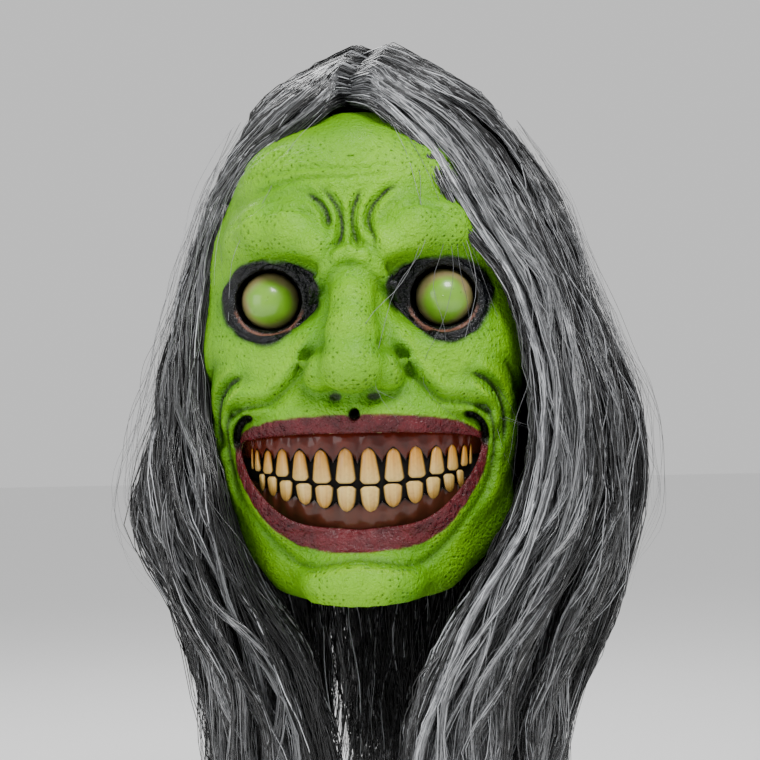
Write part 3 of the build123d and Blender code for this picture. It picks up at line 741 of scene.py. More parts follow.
def paint_of(p):
    """Where the black, the lip colour and the shading go."""
    x, y, z = p[:, 0], p[:, 1], p[:, 2]
    mx = np.abs(x)
    front = smooth01((-y - 5) / 20)
    ring = eye_radius(x, z) + 0.035 * noise(p, 6, 21)
    under_brow = smooth01((32.5 - 0.10 * np.abs(mx - 46) - z) / 2.5)
    black = smooth01((1.02 - ring) / 0.10) * under_brow * front
    # painted shade round the eye sockets, kept below the brow
    socket_shade = smooth01((1.25 - ring) / 0.3) * front * 0.35 * smooth01((38 - z) / 8)
    m = mouth_field(x, z)
    upper = line(mx, z, UPPER_LIP)[0]
    lower = line(mx, z, LOWER_LIP)[0]
    wobble = 0.5 * noise(p, 5, 22)
    lip_above = smooth01((4.3 - 1.2 * smooth01((mx - 30) / 30) + wobble - upper) / 1.0)
    lip_below = smooth01((5.4 - 2.3 * smooth01((mx - 30) / 26) + wobble - lower) / 0.9)
    lips = np.maximum(lip_above, lip_below)
    lips = np.maximum(lips, smooth01((4.2 - m) / 1.0) * smooth01((62.5 - mx) / 1.5)) * front
    lips = lips * smooth01((-43 - z) / 3)
    dark = np.zeros_like(x)
    for points, width, power in BLACKENED:
        d, t, _ = line(mx, z, points)
        spread = ends(t, 0.15) if points is not CHIN_BOTH else smooth01((1 - t) / 0.6)
        gate = 1.0
        if points is SMILE_BOTH:
            gate = 0.15 + 0.7 * smooth01((t - 0.42) / 0.16) - 0.6 * smooth01((t - 0.80) / 0.15)
        dark = np.maximum(dark, power * spread * gate * smooth01((width + 0.2 * noise(p, 9, 23) - d) / 1.4))
    for points, _ in FROWNS:
        d, t, _ = line(x, z, points)
        broken = 0.9 + 0.2 * noise(p, 6, 24)
        dark = np.maximum(dark, ends(t, 0.2) * np.clip(broken, 0, 1) * smooth01((1.5 - d) / 1.3))
    # the breathing hole and the nostrils are darkened: painted shade in the hole and in the nostrils
    hole = np.hypot(x, z - BREATHING_HOLE_Z)
    dark = np.maximum(dark, smooth01((3.2 - hole) / 0.8))
    nostril = np.hypot((mx - NOSTRIL[0]) / 1.5, z - NOSTRIL[1])
    dark = np.maximum(dark, 0.9 * smooth01((2.8 - nostril) / 1.2))
    dark = dark * front * (1 - black)
    # painted shade: round the sockets, beside the drawn creases, on the sides as they turn back and under the
    # nose
    shade = socket_shade.copy()
    for points, reach in SHADED:
        d, t, _ = line(mx, z, points)
        shade = np.maximum(shade, 0.55 * np.exp(-(d / reach) ** 2) * front)
    shade = np.maximum(shade, 0.75 * smooth01((y + 45) / 45))
    under_nose = np.exp(-((x / 22) ** 2 + ((z + 39) / 6) ** 2))
    shade = np.maximum(shade, 0.55 * under_nose * front)
    lid = np.hypot(mx - 43.8, (z - 10.6) * 1.03)
    low_side = smooth01((8 - z) / 6)
    rim = smooth01((0.95 + 0.2 * noise(p, 4, 26) - np.abs(lid - 17.6)) / 0.5) * low_side * front
    return black, lips, np.clip(shade, 0, 1), np.clip(dark, 0, 1), np.clip(rim, 0, 1)


def make_face():
    """The rubber face: a painted outside and a raw inside."""
    verts, quads = net(shell, (-92, -128, -152), (92, 22, 132), 2.0)
    f = face(verts)
    inner = np.abs(f + SKIN_WALL) < np.abs(f)
    lining = inner[quads].all(axis=1)
    skin_v, skin_q = used_only(verts, quads[~lining])
    lining_v, lining_q = used_only(verts, quads[lining])
    skin_v, skin_q = split_quads(skin_v, skin_q)
    skin_v = settle(shell, skin_v.astype(np.float32), 2)
    black, lips, shade, dark, rim = paint_of(skin_v)
    slope = gradient(face, skin_v)
    slope /= np.maximum(np.linalg.norm(slope, axis=1, keepdims=True), 1e-6)
    outside = smooth01((face(skin_v) + 1.2) / 0.8)
    ahead = skin_v + slope * 5
    # painted highlight where the skin stands out
    painted_highlight = np.clip((face(ahead) - 5) / 2.2 + 0.25, 0, 1)
    # painted shade in hollows, where a point 5 mm out from the skin is still near the face
    hollow = np.clip((4.5 - face(ahead)) / 2.4, 0, 1)
    shade = np.clip(np.maximum(shade, hollow * 0.6), 0, 1)
    push = fine_relief(skin_v, black, lips) * outside
    skin_v = skin_v + slope * push[:, None]
    # the painted highlight is kept to skin that faces forward, away from the painted shade
    facing = smooth01((-slope[:, 1] - 0.25) / 0.6)
    painted_highlight = painted_highlight * facing * (1 - shade)
    # paint carries the sockets' black, the lips and the painted shade; relief carries the painted highlight,
    # the dark marks and the lid rim
    colours = {"paint": np.stack([black, lips, shade], axis=1),
               "relief": np.stack([painted_highlight, dark, rim], axis=1)}
    skin = wear(build("face_skin", skin_v, skin_q, colours), skin_material())
    lining_v = settle(shell, lining_v, 1)
    inside = wear(build("face_lining", lining_v, lining_q), lining_material())
    for piece in (skin, inside):
        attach(piece, "mask")
    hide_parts("rubber_face")
    return skin


def make_eye(side, name):
    """One eye dome, slightly flattened, open behind."""
    rows, columns = 34, 64
    points = []
    for i in range(rows + 1):
        polar = math.radians(108) * i / rows
        for j in range(columns):
            turn = 2 * math.pi * j / columns
            r = EYE_RADIUS
            a, b = math.sin(polar) * math.cos(turn), math.sin(polar) * math.sin(turn)
            points.append((side * EYE[0] + r * a, EYE[1] - r * math.cos(polar), EYE[2] + r * 0.985 * b))
    points = np.array(points, dtype=np.float32)
    local = points - np.float32((side * EYE[0], EYE[1], EYE[2]))
    reach = np.hypot(local[:, 0] - 0.5, local[:, 2] + 1.6) / EYE_RADIUS
    rim = smooth01((reach + 0.12 * noise(points, 7, 30) - 0.58) / 0.32)
    low = smooth01((reach - 0.93) / 0.12) * 0.8
    fleck = smooth01((noise(points, 1.6, 31) - 0.82) / 0.1) * 0.6
    quads = []
    for i in range(rows):
        for j in range(columns):
            k = (j + 1) % columns
            quads.append((i * columns + j, (i + 1) * columns + j, (i + 1) * columns + k, i * columns + k))
    piece = build(name + "_dome", points, quads, {"paint": np.stack([rim, low, fleck], axis=1)})
    wear(piece, MATERIALS["eye"])
    solid = piece.modifiers.new("wall", "SOLIDIFY")
    solid.thickness = 1.6 * MM
    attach(piece, "mask")
    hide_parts(name)
    return piece


# ---------------------------------------------------------------- gums and teeth

BITE_Z = -81.8
UPPER_ARCH = (56.0, 12.6, 14)
LOWER_ARCH = (54.0, 12.4, 12)


def arch(row):
    """The middle and width of each tooth in a row."""
    reach, step, count = row
    spots = []
    for i in range(count):
        angle = math.radians((i - (count - 1) / 2) * step)
        half = math.radians(step / 2)
        low, high = reach * math.sin(angle - half), reach * math.sin(angle + half)
        spots.append(((low + high) / 2, high - low))
    return spots


def bite(x):
    return BITE_Z + 8.0 * (np.abs(x) / 56) ** 2


def two_layers(across, up, outward):
    """The quads of a front and a back grid of points, joined round their rim."""
    n = (across + 1) * (up + 1)
    quads = []
    for layer in (0, 1):
        for i in range(up):
            for j in range(across):
                a = layer * n + i * (across + 1) + j
                q = (a, a + 1, a + across + 2, a + across + 1)
                quads.append(q if (layer == 0) == outward else q[::-1])
    rim = list(range(across + 1))
    rim += [i * (across + 1) + across for i in range(1, up + 1)]
    rim += [up * (across + 1) + j for j in range(across - 1, -1, -1)]
    rim += [i * (across + 1) for i in range(up - 1, 0, -1)]
    for a, b in zip(rim, rim[1:] + rim[:1]):
        q = (b, a, a + n, b + n)
        quads.append(q if outward else q[::-1])
    return quads


def make_tooth(x0, width, direction, length, rng):
    """One tooth: a curved, pointed shield that stands out from the gum."""
    across, up = 12, 22
    points, paint = [], []
    shrink = 1 - 0.40 * (x0 / 56) ** 2
    length = length * shrink * rng.uniform(0.94, 1.06)
    lean = rng.uniform(-0.5, 0.5)
    tone = float(np.clip(0.4 + 0.35 * rng.standard_normal(), 0, 1))
    bite_z = float(bite(x0)) + direction * (0.55 + rng.uniform(-0.25, 0.35))
    for side in (0, 1):
        for i in range(up + 1):
            t = i / up
            if direction > 0:
                half = width * 0.43 * (1 - 0.46 * t ** 1.5)
                half *= math.sqrt(max(0.012, 1 - (max(0, t - 0.76) / 0.24) ** 2))
            else:
                half = width * 0.43 * (1 - 0.30 * t ** 1.8)
                half *= math.sqrt(max(0.012, 1 - (max(0, t - 0.58) / 0.42) ** 2))
            half *= math.sqrt(min(1.0, 0.62 + t * 5.0))
            for j in range(across + 1):
                s = 2 * j / across - 1
                x = x0 + half * s + lean * t
                corner = 0.9 * max(0, abs(s) - 0.55) ** 2 * (1 - min(1, t * 4)) * 4
                z = bite_z + direction * (t * length + corner)
                swell = math.sin(math.pi * min(0.92, 0.16 + t * 0.80)) ** 0.55
                out = (0.4 + 2.9 * (1 - s * s) ** 0.6) * swell
                y = jaw_y(x, z, -1.0)
                y = y - out if side == 0 else y + 2.2
                points.append((x, y, z))
                edge = max(abs(s) - 0.84, 0) / 0.16
                root = max(t - 0.86, 0) / 0.14
                tip = max(0.05 - t, 0) / 0.05
                streak = 0.5 + 0.5 * math.sin(s * 9 + x0) * math.sin(s * 23 + x0 * 2)
                streak = streak * 0.6 * (0.35 + t * 0.9)
                warm = (0.10 + 0.35 * tone + 0.85 * t) if direction > 0 else 0.1 + 0.25 * tone + 0.35 * t ** 2
                paint.append((min(1, max(edge ** 2, root ** 2, tip * 0.4)) * 0.9, streak, min(1, warm)))
    return points, paint, two_layers(across, up, direction > 0)


def make_teeth(name, row, direction, length):
    """One row of separate teeth."""
    rng = np.random.default_rng(5 if direction > 0 else 6)
    points, paint, quads = [], [], []
    for x0, width in arch(row):
        p, c, q = make_tooth(x0, width, direction, length, rng)
        quads += [tuple(i + len(points) for i in face_) for face_ in q]
        points += p
        paint += c
    piece = build(name + "_row", points, quads, {"paint": np.array(paint, dtype=np.float32)})
    wear(piece, MATERIALS["tooth"])
    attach(piece, "mask")
    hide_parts(name)
    return piece


def make_gum(name, row, direction):
    """A wet gum band, swollen between the teeth and drawn back over each root."""
    columns, rows = 300, 36
    spots = arch(row)
    points, paint = [], []
    far = {1: -52.5, -1: -108.5}[direction]
    for layer in (0, 1):
        for i in range(rows + 1):
            v = i / rows
            for j in range(columns + 1):
                u = 2 * j / columns - 1
                x = 62.5 * math.sin(u * math.radians(84)) / math.sin(math.radians(84))
                near = min(spots, key=lambda s: abs(s[0] - x) / s[1])
                local = min(1.0, abs(near[0] - x) / (near[1] * 0.5))
                length = (17.5 if direction > 0 else 13.0) * (1 - 0.40 * (x / 56) ** 2)
                root_z = float(bite(x)) + direction * length
                dip = (2.6 if direction > 0 else 1.4) - 8.6 * local ** 1.5 * (1 if direction > 0 else 0.5)
                near_z = root_z + direction * (dip * (1 - 0.3 * abs(x) / 56) - 1.5)
                fade = 1 - 0.30 * (abs(x) / 62) ** 2
                top = far * fade + (1 - fade) * (-62 if direction > 0 else -70)
                z = near_z + (top - near_z) * v
                ridge = 1.1 * math.cos(local * math.pi) - 0.3
                swell = 0.4 + 2.1 * math.sin(math.pi * min(1, 0.10 + v * 0.85)) + ridge * (1 - v * 0.75)
                y = jaw_y(x, z, -1.6) - (swell if layer == 0 else -1.6)
                points.append((x, y, z))
                groove = (0.5 - 0.5 * math.cos(local * math.pi)) ** 3 * (1 - v)
                dark = min(1, 0.95 * max(0, 1 - v * 11) + 0.35 * groove + 0.9 * max(0, v - 0.84) / 0.16)
                paint.append((dark, 0.35 * (1 - v) if direction > 0 else 0.7, 0))
    n = (columns + 1) * (rows + 1)
    quads = two_layers(columns, rows, direction > 0)
    points = np.array(points, dtype=np.float32)
    points[:n, 1] += 0.22 * noise(points[:n], 3.0, 50)
    piece = build(name + "_band", points, quads, {"paint": np.array(paint, dtype=np.float32)})
    wear(piece, MATERIALS["gum"])
    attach(piece, "mask")
    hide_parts(name)
    return piece


# ---------------------------------------------------------------- hair

# The mass of hair by level: z, middle x and y, half width and depth, and how far in its strands may lie.
HAIR_LEVELS = np.array([
    (142, 5, 9, 12, 18, 0.60), (138, 4, 8, 28, 38, 0.62), (128, 4, 10, 54, 70, 0.62),
    (105, 5, 12, 78, 96, 0.66), (70, 8, 12, 95, 110, 0.80), (20, 9, 12, 110, 120, 0.83),
    (-45, 12, 12, 129, 125, 0.72),
    (-100, 6, 12, 142, 127, 0.62), (-150, 8, 14, 121, 121, 0.58), (-200, 5, 16, 103, 111, 0.58),
    (-290, 0, 18, 92, 98, 0.62),
])[::-1]
GUIDE_Z = np.array([120, 105, 86, 66, 45, 20, -15, -50, -80, -110, -140, -165, -190, -225, -290.0])
# Guides from the hairline round to the back. A number under 90 in front is a distance across in mm
# and the others are azimuths from the front in degrees. Each guide also has its root on the parting.
LEFT_FRONT = [
    ((-5, -47, 112), (-4, -16, -43, -61, -69, -75, -80, -79, -70, -62, -53, -34, -27, -16, -10)),
    ((-2, -42, 118), (-10, -28, -55, -73, -82, -88, -92, -92, -88, -82, -73, -59, -49, -42, -40)),
    ((2, -32, 124), (-30, -52, -72, -83, -91, -98, -104, -110, -112, -106, -94, -84, -78, -74, -72)),
]
RIGHT_FRONT = [
    ((-4, -47, 112), (4, 12, 34, 44, 53, 73, 83, 87, 84, 70, 53, 40, 27, 17, 12)),
    ((0, -42, 119), (14, 38, 54, 66, 79, 93, 101, 105, 104, 94, 77, 62, 50, 44, 40)),
    ((4, -32, 126), (40, 64, 82, 93, 102, 110, 120, 128, 131, 124, 108, 97, 88, 80, 76)),
]
ROUND = [
    (90, (6, -14, 133), (70, 82)),
    (115, (8, 6, 135), (104, 112)),
    (145, (9, 28, 134), (140, 145)),
    (180, (9, 48, 128), (180, 180)),
]
CROWN_Z = 62.0
SECTORS = (("front", 0.0, 1.85), ("side", 1.85, 3.9), ("back", 3.9, 5.2), ("back_centre", 5.2, 6.0))


def rounded_levels(reach=15):
    """The hair's levels every 2 mm, with the corners between them rounded off."""
    z = np.arange(-292, 144, 2.0)
    weights = np.hanning(reach + 2)[1:-1]
    weights /= weights.sum()
    table = [z]
    for i in range(1, 6):
        column = np.interp(z, HAIR_LEVELS[:, 0], HAIR_LEVELS[:, i])
        padded = np.concatenate([2 * column[0] - column[reach // 2:0:-1], column,
                                 np.full(reach // 2, column[-1])])
        table.append(np.convolve(padded, weights, mode="valid"))
    return np.array(table)


LEVELS = rounded_levels()


def level(z):
    """The hair's ring at a height: middle x and y, half width and depth, and inner share."""
    return [np.interp(z, LEVELS[0], LEVELS[i]) for i in range(1, 6)]


def guides(side):
    """Roots and azimuths, in radians, of one side's guides."""
    cx, _, hw, _, _ = level(GUIDE_Z)
    roots, turns = [], []
    for root, places in (LEFT_FRONT if side < 0 else RIGHT_FRONT):
        roots.append(root)
        turns.append(np.arcsin(np.clip((np.array(places) - cx) / hw, -1, 1)))
    for azimuth, root, top in ROUND:
        full = np.full(len(GUIDE_Z), float(azimuth))
        full[:2] = top
        roots.append(root)
        turns.append(np.radians(full) * side)
    return np.array(roots, dtype=float), np.array(turns)


def on_hair(turn, z, depth):
    """A point in the mass of hair: depth 0 is its inside and 1 its outside."""
    cx, cy, hw, hd, inner = level(z)
    share = inner + (1 - inner) * np.maximum(depth, 0.75 * smooth01((z - 96) / 20))
    front = smooth01((np.radians(84) - np.abs(turn)) / np.radians(40))
    kept = np.arcsin(np.clip(np.sin(turn) / share, -1, 1))
    kept = np.where(np.abs(turn) < math.pi / 2, kept, turn)
    turn = turn + (kept - turn) * front
    return np.stack([cx + hw * share * np.sin(turn), cy - hd * share * np.cos(turn), z], axis=-1)


def strand_paths(controls, count):
    """Smooth paths, even in length, through each strand's control points."""
    k = controls.shape[1]
    before = 2 * controls[:, :1] - controls[:, 1:2]
    after = 2 * controls[:, -1:] - controls[:, -2:-1]
    p = np.concatenate([before, controls, after], axis=1)
    out = []
    for i in range(1, k):
        a, b, c, d = (p[:, i - 1 + j] for j in range(4))
        for t in (0.0, 0.25, 0.5, 0.75):
            out.append(0.5 * (2 * b + (c - a) * t + (2 * a - 5 * b + 4 * c - d) * t * t
                              + (3 * b - a - 3 * c + d) * t ** 3))
    out.append(p[:, -2])
    dense = np.stack(out, axis=1)
    return evenly(dense, count)


def evenly(dense, count):
    """Resamples each path to a count of points even in length."""
    step = np.linalg.norm(np.diff(dense, axis=1), axis=2)
    length = np.concatenate([np.zeros((len(dense), 1)), np.cumsum(step, axis=1)], axis=1)
    result = np.empty((len(dense), count, 3))
    for i in range(len(dense)):
        s = np.linspace(0, length[i, -1], count)
        for axis in range(3):
            result[i, :, axis] = np.interp(s, length[i], dense[i, :, axis])
    return result


def frames(paths):
    """Unit directions along, outward from and across each path."""
    along = np.gradient(paths, axis=1)
    along /= np.maximum(np.linalg.norm(along, axis=2, keepdims=True), 1e-6)
    out = paths - np.array((6.0, 12.0, 0.0))
    out[..., 2] = np.where(paths[..., 2] > 90, (paths[..., 2] - 90) * 1.6, 0)
    out -= along * (out * along).sum(axis=2, keepdims=True)
    out /= np.maximum(np.linalg.norm(out, axis=2, keepdims=True), 1e-6)
    return along, out, np.cross(along, out)


def waved(paths, rng, lock, big, small):
    """Adds each lock's shared wave and each strand's own to its path."""
    n = len(paths)
    _, out, across = frames(paths)
    step = np.linalg.norm(np.diff(paths, axis=1), axis=2)
    length = np.concatenate([np.zeros((n, 1)), np.cumsum(step, axis=1)], axis=1)
    grow = smooth01(length / 230)
    locks = int(lock.max()) + 1
    span = rng.uniform(80, 140, locks)[lock][:, None]
    start = rng.uniform(0, 2 * math.pi, locks)[lock][:, None]
    size = (rng.uniform(0.4, 1.3, locks)[lock] * big)[:, None]
    wave = np.sin(2 * math.pi * length / span + start) * size * grow
    lift = np.cos(2 * math.pi * length / span * 1.1 + start * 1.7) * size * 0.5 * grow
    own_span = rng.uniform(26, 75, n)[:, None]
    own = np.sin(2 * math.pi * length / own_span + rng.uniform(0, 6.28, n)[:, None])
    own = own * (rng.gamma(2.0, 0.5, n) * small)[:, None] * smooth01(length / 40)
    own_lift = np.sin(2 * math.pi * length / own_span * 0.8 + rng.uniform(0, 6.28, n)[:, None])
    own_lift = own_lift * (rng.gamma(2.0, 0.35, n) * small)[:, None] * smooth01(length / 40)
    return paths + across * (wave + own)[..., None] + out * (lift + own_lift)[..., None]


def tones(rng, light, count):
    """Each strand's colour: near its lock's own tone, with a silver one here and there."""
    n = len(light)
    silver = rng.random(n) < 0.07
    value = (0.004 + 0.44 * light ** 1.9) * np.exp(0.6 * rng.standard_normal(n))
    value = np.where(silver, rng.uniform(0.30, 0.75, n), value)[:, None]
    drift = 1 + 0.25 * np.sin(np.linspace(0, 5, count)[None, :] + rng.uniform(0, 6.28, (n, 1)))
    value = np.clip(value * drift, 0.003, 0.8)
    cool = np.array((0.97, 0.99, 1.03))
    return value[..., None] * cool


def tubes(paths, radius, colour, tapered):
    """Closed three-sided fibres along paths, with a colour for each point."""
    n, count, _ = paths.shape
    _, out, across = frames(paths)
    t = np.linspace(0, 1, count)
    taper = (1 - 0.72 * tapered * smooth01((t - 0.72) / 0.28))[None, :, None]
    points, shades, maps = [], [], []
    for k in range(3):
        angle = 2 * math.pi * k / 3 + 0.5
        offset = (out * math.sin(angle) + across * math.cos(angle)) * taper * radius[:, None, None]
        points.append(paths + offset)
        shades.append(colour)
        v = (np.arange(n) + 0.25 + 0.25 * k) / n
        maps.append(np.stack(np.broadcast_arrays(t[None, :] * 0.98 + 0.01, v[:, None]), axis=-1))
    points = np.stack(points, axis=2).reshape(-1, 3)
    shades = np.stack(shades, axis=2).reshape(-1, 3)
    maps = np.stack(maps, axis=2).reshape(-1, 2)
    base = (np.arange(n)[:, None] * count + np.arange(count - 1)[None, :]).reshape(-1) * 3
    sides = []
    for k in range(3):
        after = (k + 1) % 3
        sides.append(np.stack([base + k, base + after, base + 3 + after, base + 3 + k], axis=1))
    first = np.arange(n) * count * 3
    last = first + (count - 1) * 3
    foot = np.stack([first + 2, first + 1, first], axis=1)
    head = np.stack([last, last + 1, last + 2], axis=1)
    return points, np.concatenate(sides), np.concatenate([foot, head]), shades, maps


class Wig:
    """Collects fibres for each hair piece and builds the pieces."""

    def __init__(self):
        self.parts = {}

    def put(self, name, paths, radius, colour, tapered=True):
        if len(paths):
            self.parts.setdefault(name, []).append((paths, radius, colour, tapered))

    def split(self, crown, lower, paths, radius, colour):
        """Shares strands out between a crown piece above the dividing level and a lower piece."""
        high, low, tint_high, tint_low, thick_high, thick_low = [], [], [], [], [], []
        for path, tint, thick in zip(paths, colour.mean(axis=1), radius):
            above = path[:, 2] > CROWN_Z
            cut = len(above) if above.all() else int(np.argmin(above))
            if 2 <= cut <= len(path) - 2:
                share = (path[cut - 1, 2] - CROWN_Z) / max(path[cut - 1, 2] - path[cut, 2], 1e-6)
                middle = path[cut - 1] + (path[cut] - path[cut - 1]) * share
                high.append(np.vstack([path[:cut], middle]))
                low.append(np.vstack([middle, path[cut:]]))
                tint_high.append(tint)
                thick_high.append(thick)
            else:
                low.append(path)
            tint_low.append(tint)
            thick_low.append(thick)
        shares = ((crown, high, tint_high, thick_high, 14, False),
                  (lower, low, tint_low, thick_low, 25, True))
        for name, group, tint, thick, count, tapered in shares:
            if not group:
                continue
            even = np.stack([self.even_one(path, count) for path in group])
            self.put(name, even, np.array(thick), np.repeat(np.array(tint)[:, None], count, axis=1), tapered)

    @staticmethod
    def even_one(path, count):
        length = np.concatenate([[0], np.cumsum(np.linalg.norm(np.diff(path, axis=0), axis=1))])
        s = np.linspace(0, length[-1], count)
        return np.stack([np.interp(s, length, path[:, axis]) for axis in range(3)], axis=1)

    def make(self):
        for name, groups in sorted(self.parts.items()):
            points, quads, caps, shades, maps, base = [], [], [], [], [], 0
            total = sum(len(group[0]) for group in groups)
            row = 0
            for paths, radius, colour, tapered in groups:
                p, q, c, s, m = tubes(paths, radius, colour, tapered)
                m[:, 1] = (m[:, 1] * len(paths) + row) / total
                points.append(p)
                quads.append(q + base)
                caps.append(c + base)
                shades.append(s)
                maps.append(m)
                base += len(p)
                row += len(paths)
            faces = [np.concatenate(quads), np.concatenate(caps)]
            piece = build(name + "_strands", np.concatenate(points), faces, {"tone": np.concatenate(shades)},
                          np.concatenate(maps))
            wear(piece, MATERIALS["hair"])
            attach(piece, "mask")
            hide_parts(name)


def main_strands(wig, side):
    """The long strands of one side, from the parting round to the back."""
    rng = np.random.default_rng(40 + side)
    roots, turns = guides(side)
    word = "left" if side < 0 else "right"
    counts = {"front": 1900, "side": 1250, "back": 950, "back_centre": 650}
    for sector, low, high in SECTORS:
        n = counts[sector]
        locks = max(6, int(n / 34))
        lock = rng.integers(0, locks, n)
        lock_u = np.sort(rng.uniform(low, high, locks))
        spread = (high - low) / locks * 1.1
        u = np.clip(lock_u[lock] + rng.normal(0, spread, n), low, high - 1e-6)
        i = np.minimum(u.astype(int), len(roots) - 2)
        f = (u - i)[:, None]
        root = roots[i] * (1 - f) + roots[i + 1] * f
        lift = np.array((0, 0, 6.5)) * smooth01(u)[:, None]
        root = root + rng.normal(0, 1, (n, 3)) * (1.2, 2.5, 0.8) + lift
        turn = turns[i] * (1 - f) + turns[i + 1] * f
        lock_depth = rng.uniform(0.30, 0.98, locks)
        edge = smooth01(u / 1.2)
        depth = np.clip(lock_depth[lock] + rng.normal(0, 0.07, n), 0.12, 1.0) * (0.80 + 0.20 * edge)
        fall = depth[:, None] * (0.75 + 0.25 * smooth01((90 - GUIDE_Z) / 120))[None, :]
        tip = np.where(rng.random(n) < 0.14, rng.uniform(-215, -120, n), rng.uniform(-291, -235, n))
        below = -15 + (GUIDE_Z[None, :] + 15) * (tip[:, None] + 15) / (GUIDE_Z[-1] + 15)
        above = np.minimum(GUIDE_Z[None, :], root[:, 2:3] - 5 - 1.5 * np.arange(len(GUIDE_Z))[None, :])
        z = np.where(GUIDE_Z[None, :] > -15, above, below)
        turn_here = np.stack([np.interp(-z[j], -GUIDE_Z, turn[j]) for j in range(n)])
        lifted = smooth01(u / 0.9)
        across = side * (3 + 7 * lifted)
        rise = root + np.stack([across, 0 * across, 0.5 + 4.5 * depth * lifted], axis=1)
        controls = np.concatenate([root[:, None], rise[:, None], on_hair(turn_here, z, fall)], axis=1)
        paths = strand_paths(controls, 44)
        paths = waved(paths, rng, lock, np.where(u < 0.5, 2.0, 6.5), 1.0)
        light = rng.beta(0.9, 1.7, locks)[lock]
        # lock tones by place: on the right the front locks are lighter, partly for their silver hair and
        # partly as a painted highlight where the light falls on the forelock; the locks next to the face are
        # darker on both sides, as painted shade beside the face, and the rest of the left is a little darker
        if side > 0:
            light = np.where((u > 0.12) & (u < 1.3), light * 0.6 + 0.42, light)
            light = np.where(u < 0.15, light * 0.5, light)
        else:
            light = np.where(u < 0.35, light * 0.3, light * 0.85)
        colour = tones(rng, light, 44)
        radius = rng.uniform(0.20, 0.38, n)
        name = "hair_back_centre_outer" if sector == "back_centre" else f"hair_{sector}_{word}_outer"
        front = u < 2.2
        crown_rear = f"hair_crown_{word}"
        crown_front = crown_rear if side < 0 else "hair_forelock"
        for chosen, crown in ((front, crown_front), (~front, crown_rear)):
            if chosen.any():
                wig.split(crown, name, paths[chosen], radius[chosen], colour[chosen])


def under_strands(wig, side):
    """Shorter strands sewn to the weft tracks under the long ones, darker as painted shade under the outer
    hair.
    """
    rng = np.random.default_rng(60 + side)
    word = "left" if side < 0 else "right"
    roots, turns = guides(side)
    counts = {"front": 620, "side": 620, "back": 520, "back_centre": 400}
    z_levels = GUIDE_Z[5:]
    for sector, low, high in SECTORS:
        n = counts[sector]
        locks = max(5, n // 40)
        lock = rng.integers(0, locks, n)
        lock_u = np.sort(rng.uniform(low, high, locks))
        u = np.clip(lock_u[lock] + rng.normal(0, (high - low) / locks, n), low, high - 1e-6)
        i = np.minimum(u.astype(int), len(roots) - 2)
        f = (u - i)[:, None]
        turn = (turns[i] * (1 - f) + turns[i + 1] * f)[:, 5:]
        depth = rng.uniform(0.02, 0.5, n) * (0.3 + 0.7 * smooth01(u / 1.2))
        start = rng.choice((52.0, 34.0, 8.0, -12.0), n)
        tip = rng.uniform(-280, -190, n)
        down = z_levels[None, :] - z_levels[0]
        z = start[:, None] + down * (start - tip)[:, None] / (z_levels[0] - z_levels[-1])
        turn_here = np.stack([np.interp(-z[j], -z_levels, turn[j]) for j in range(n)])
        fall = depth[:, None] * smooth01((start[:, None] - z + 8) / 60)
        paths = strand_paths(on_hair(turn_here, z, fall), 26)
        paths = waved(paths, rng, lock, np.full(n, 3.5), 0.9)
        # a dark tone for all the under strands: painted shade under the long ones
        colour = tones(rng, np.full(n, 0.12), 26)
        name = "hair_back_centre_under" if sector == "back_centre" else f"hair_{sector}_{word}_under"
        wig.put(name, paths, rng.uniform(0.40, 0.62, n), colour)


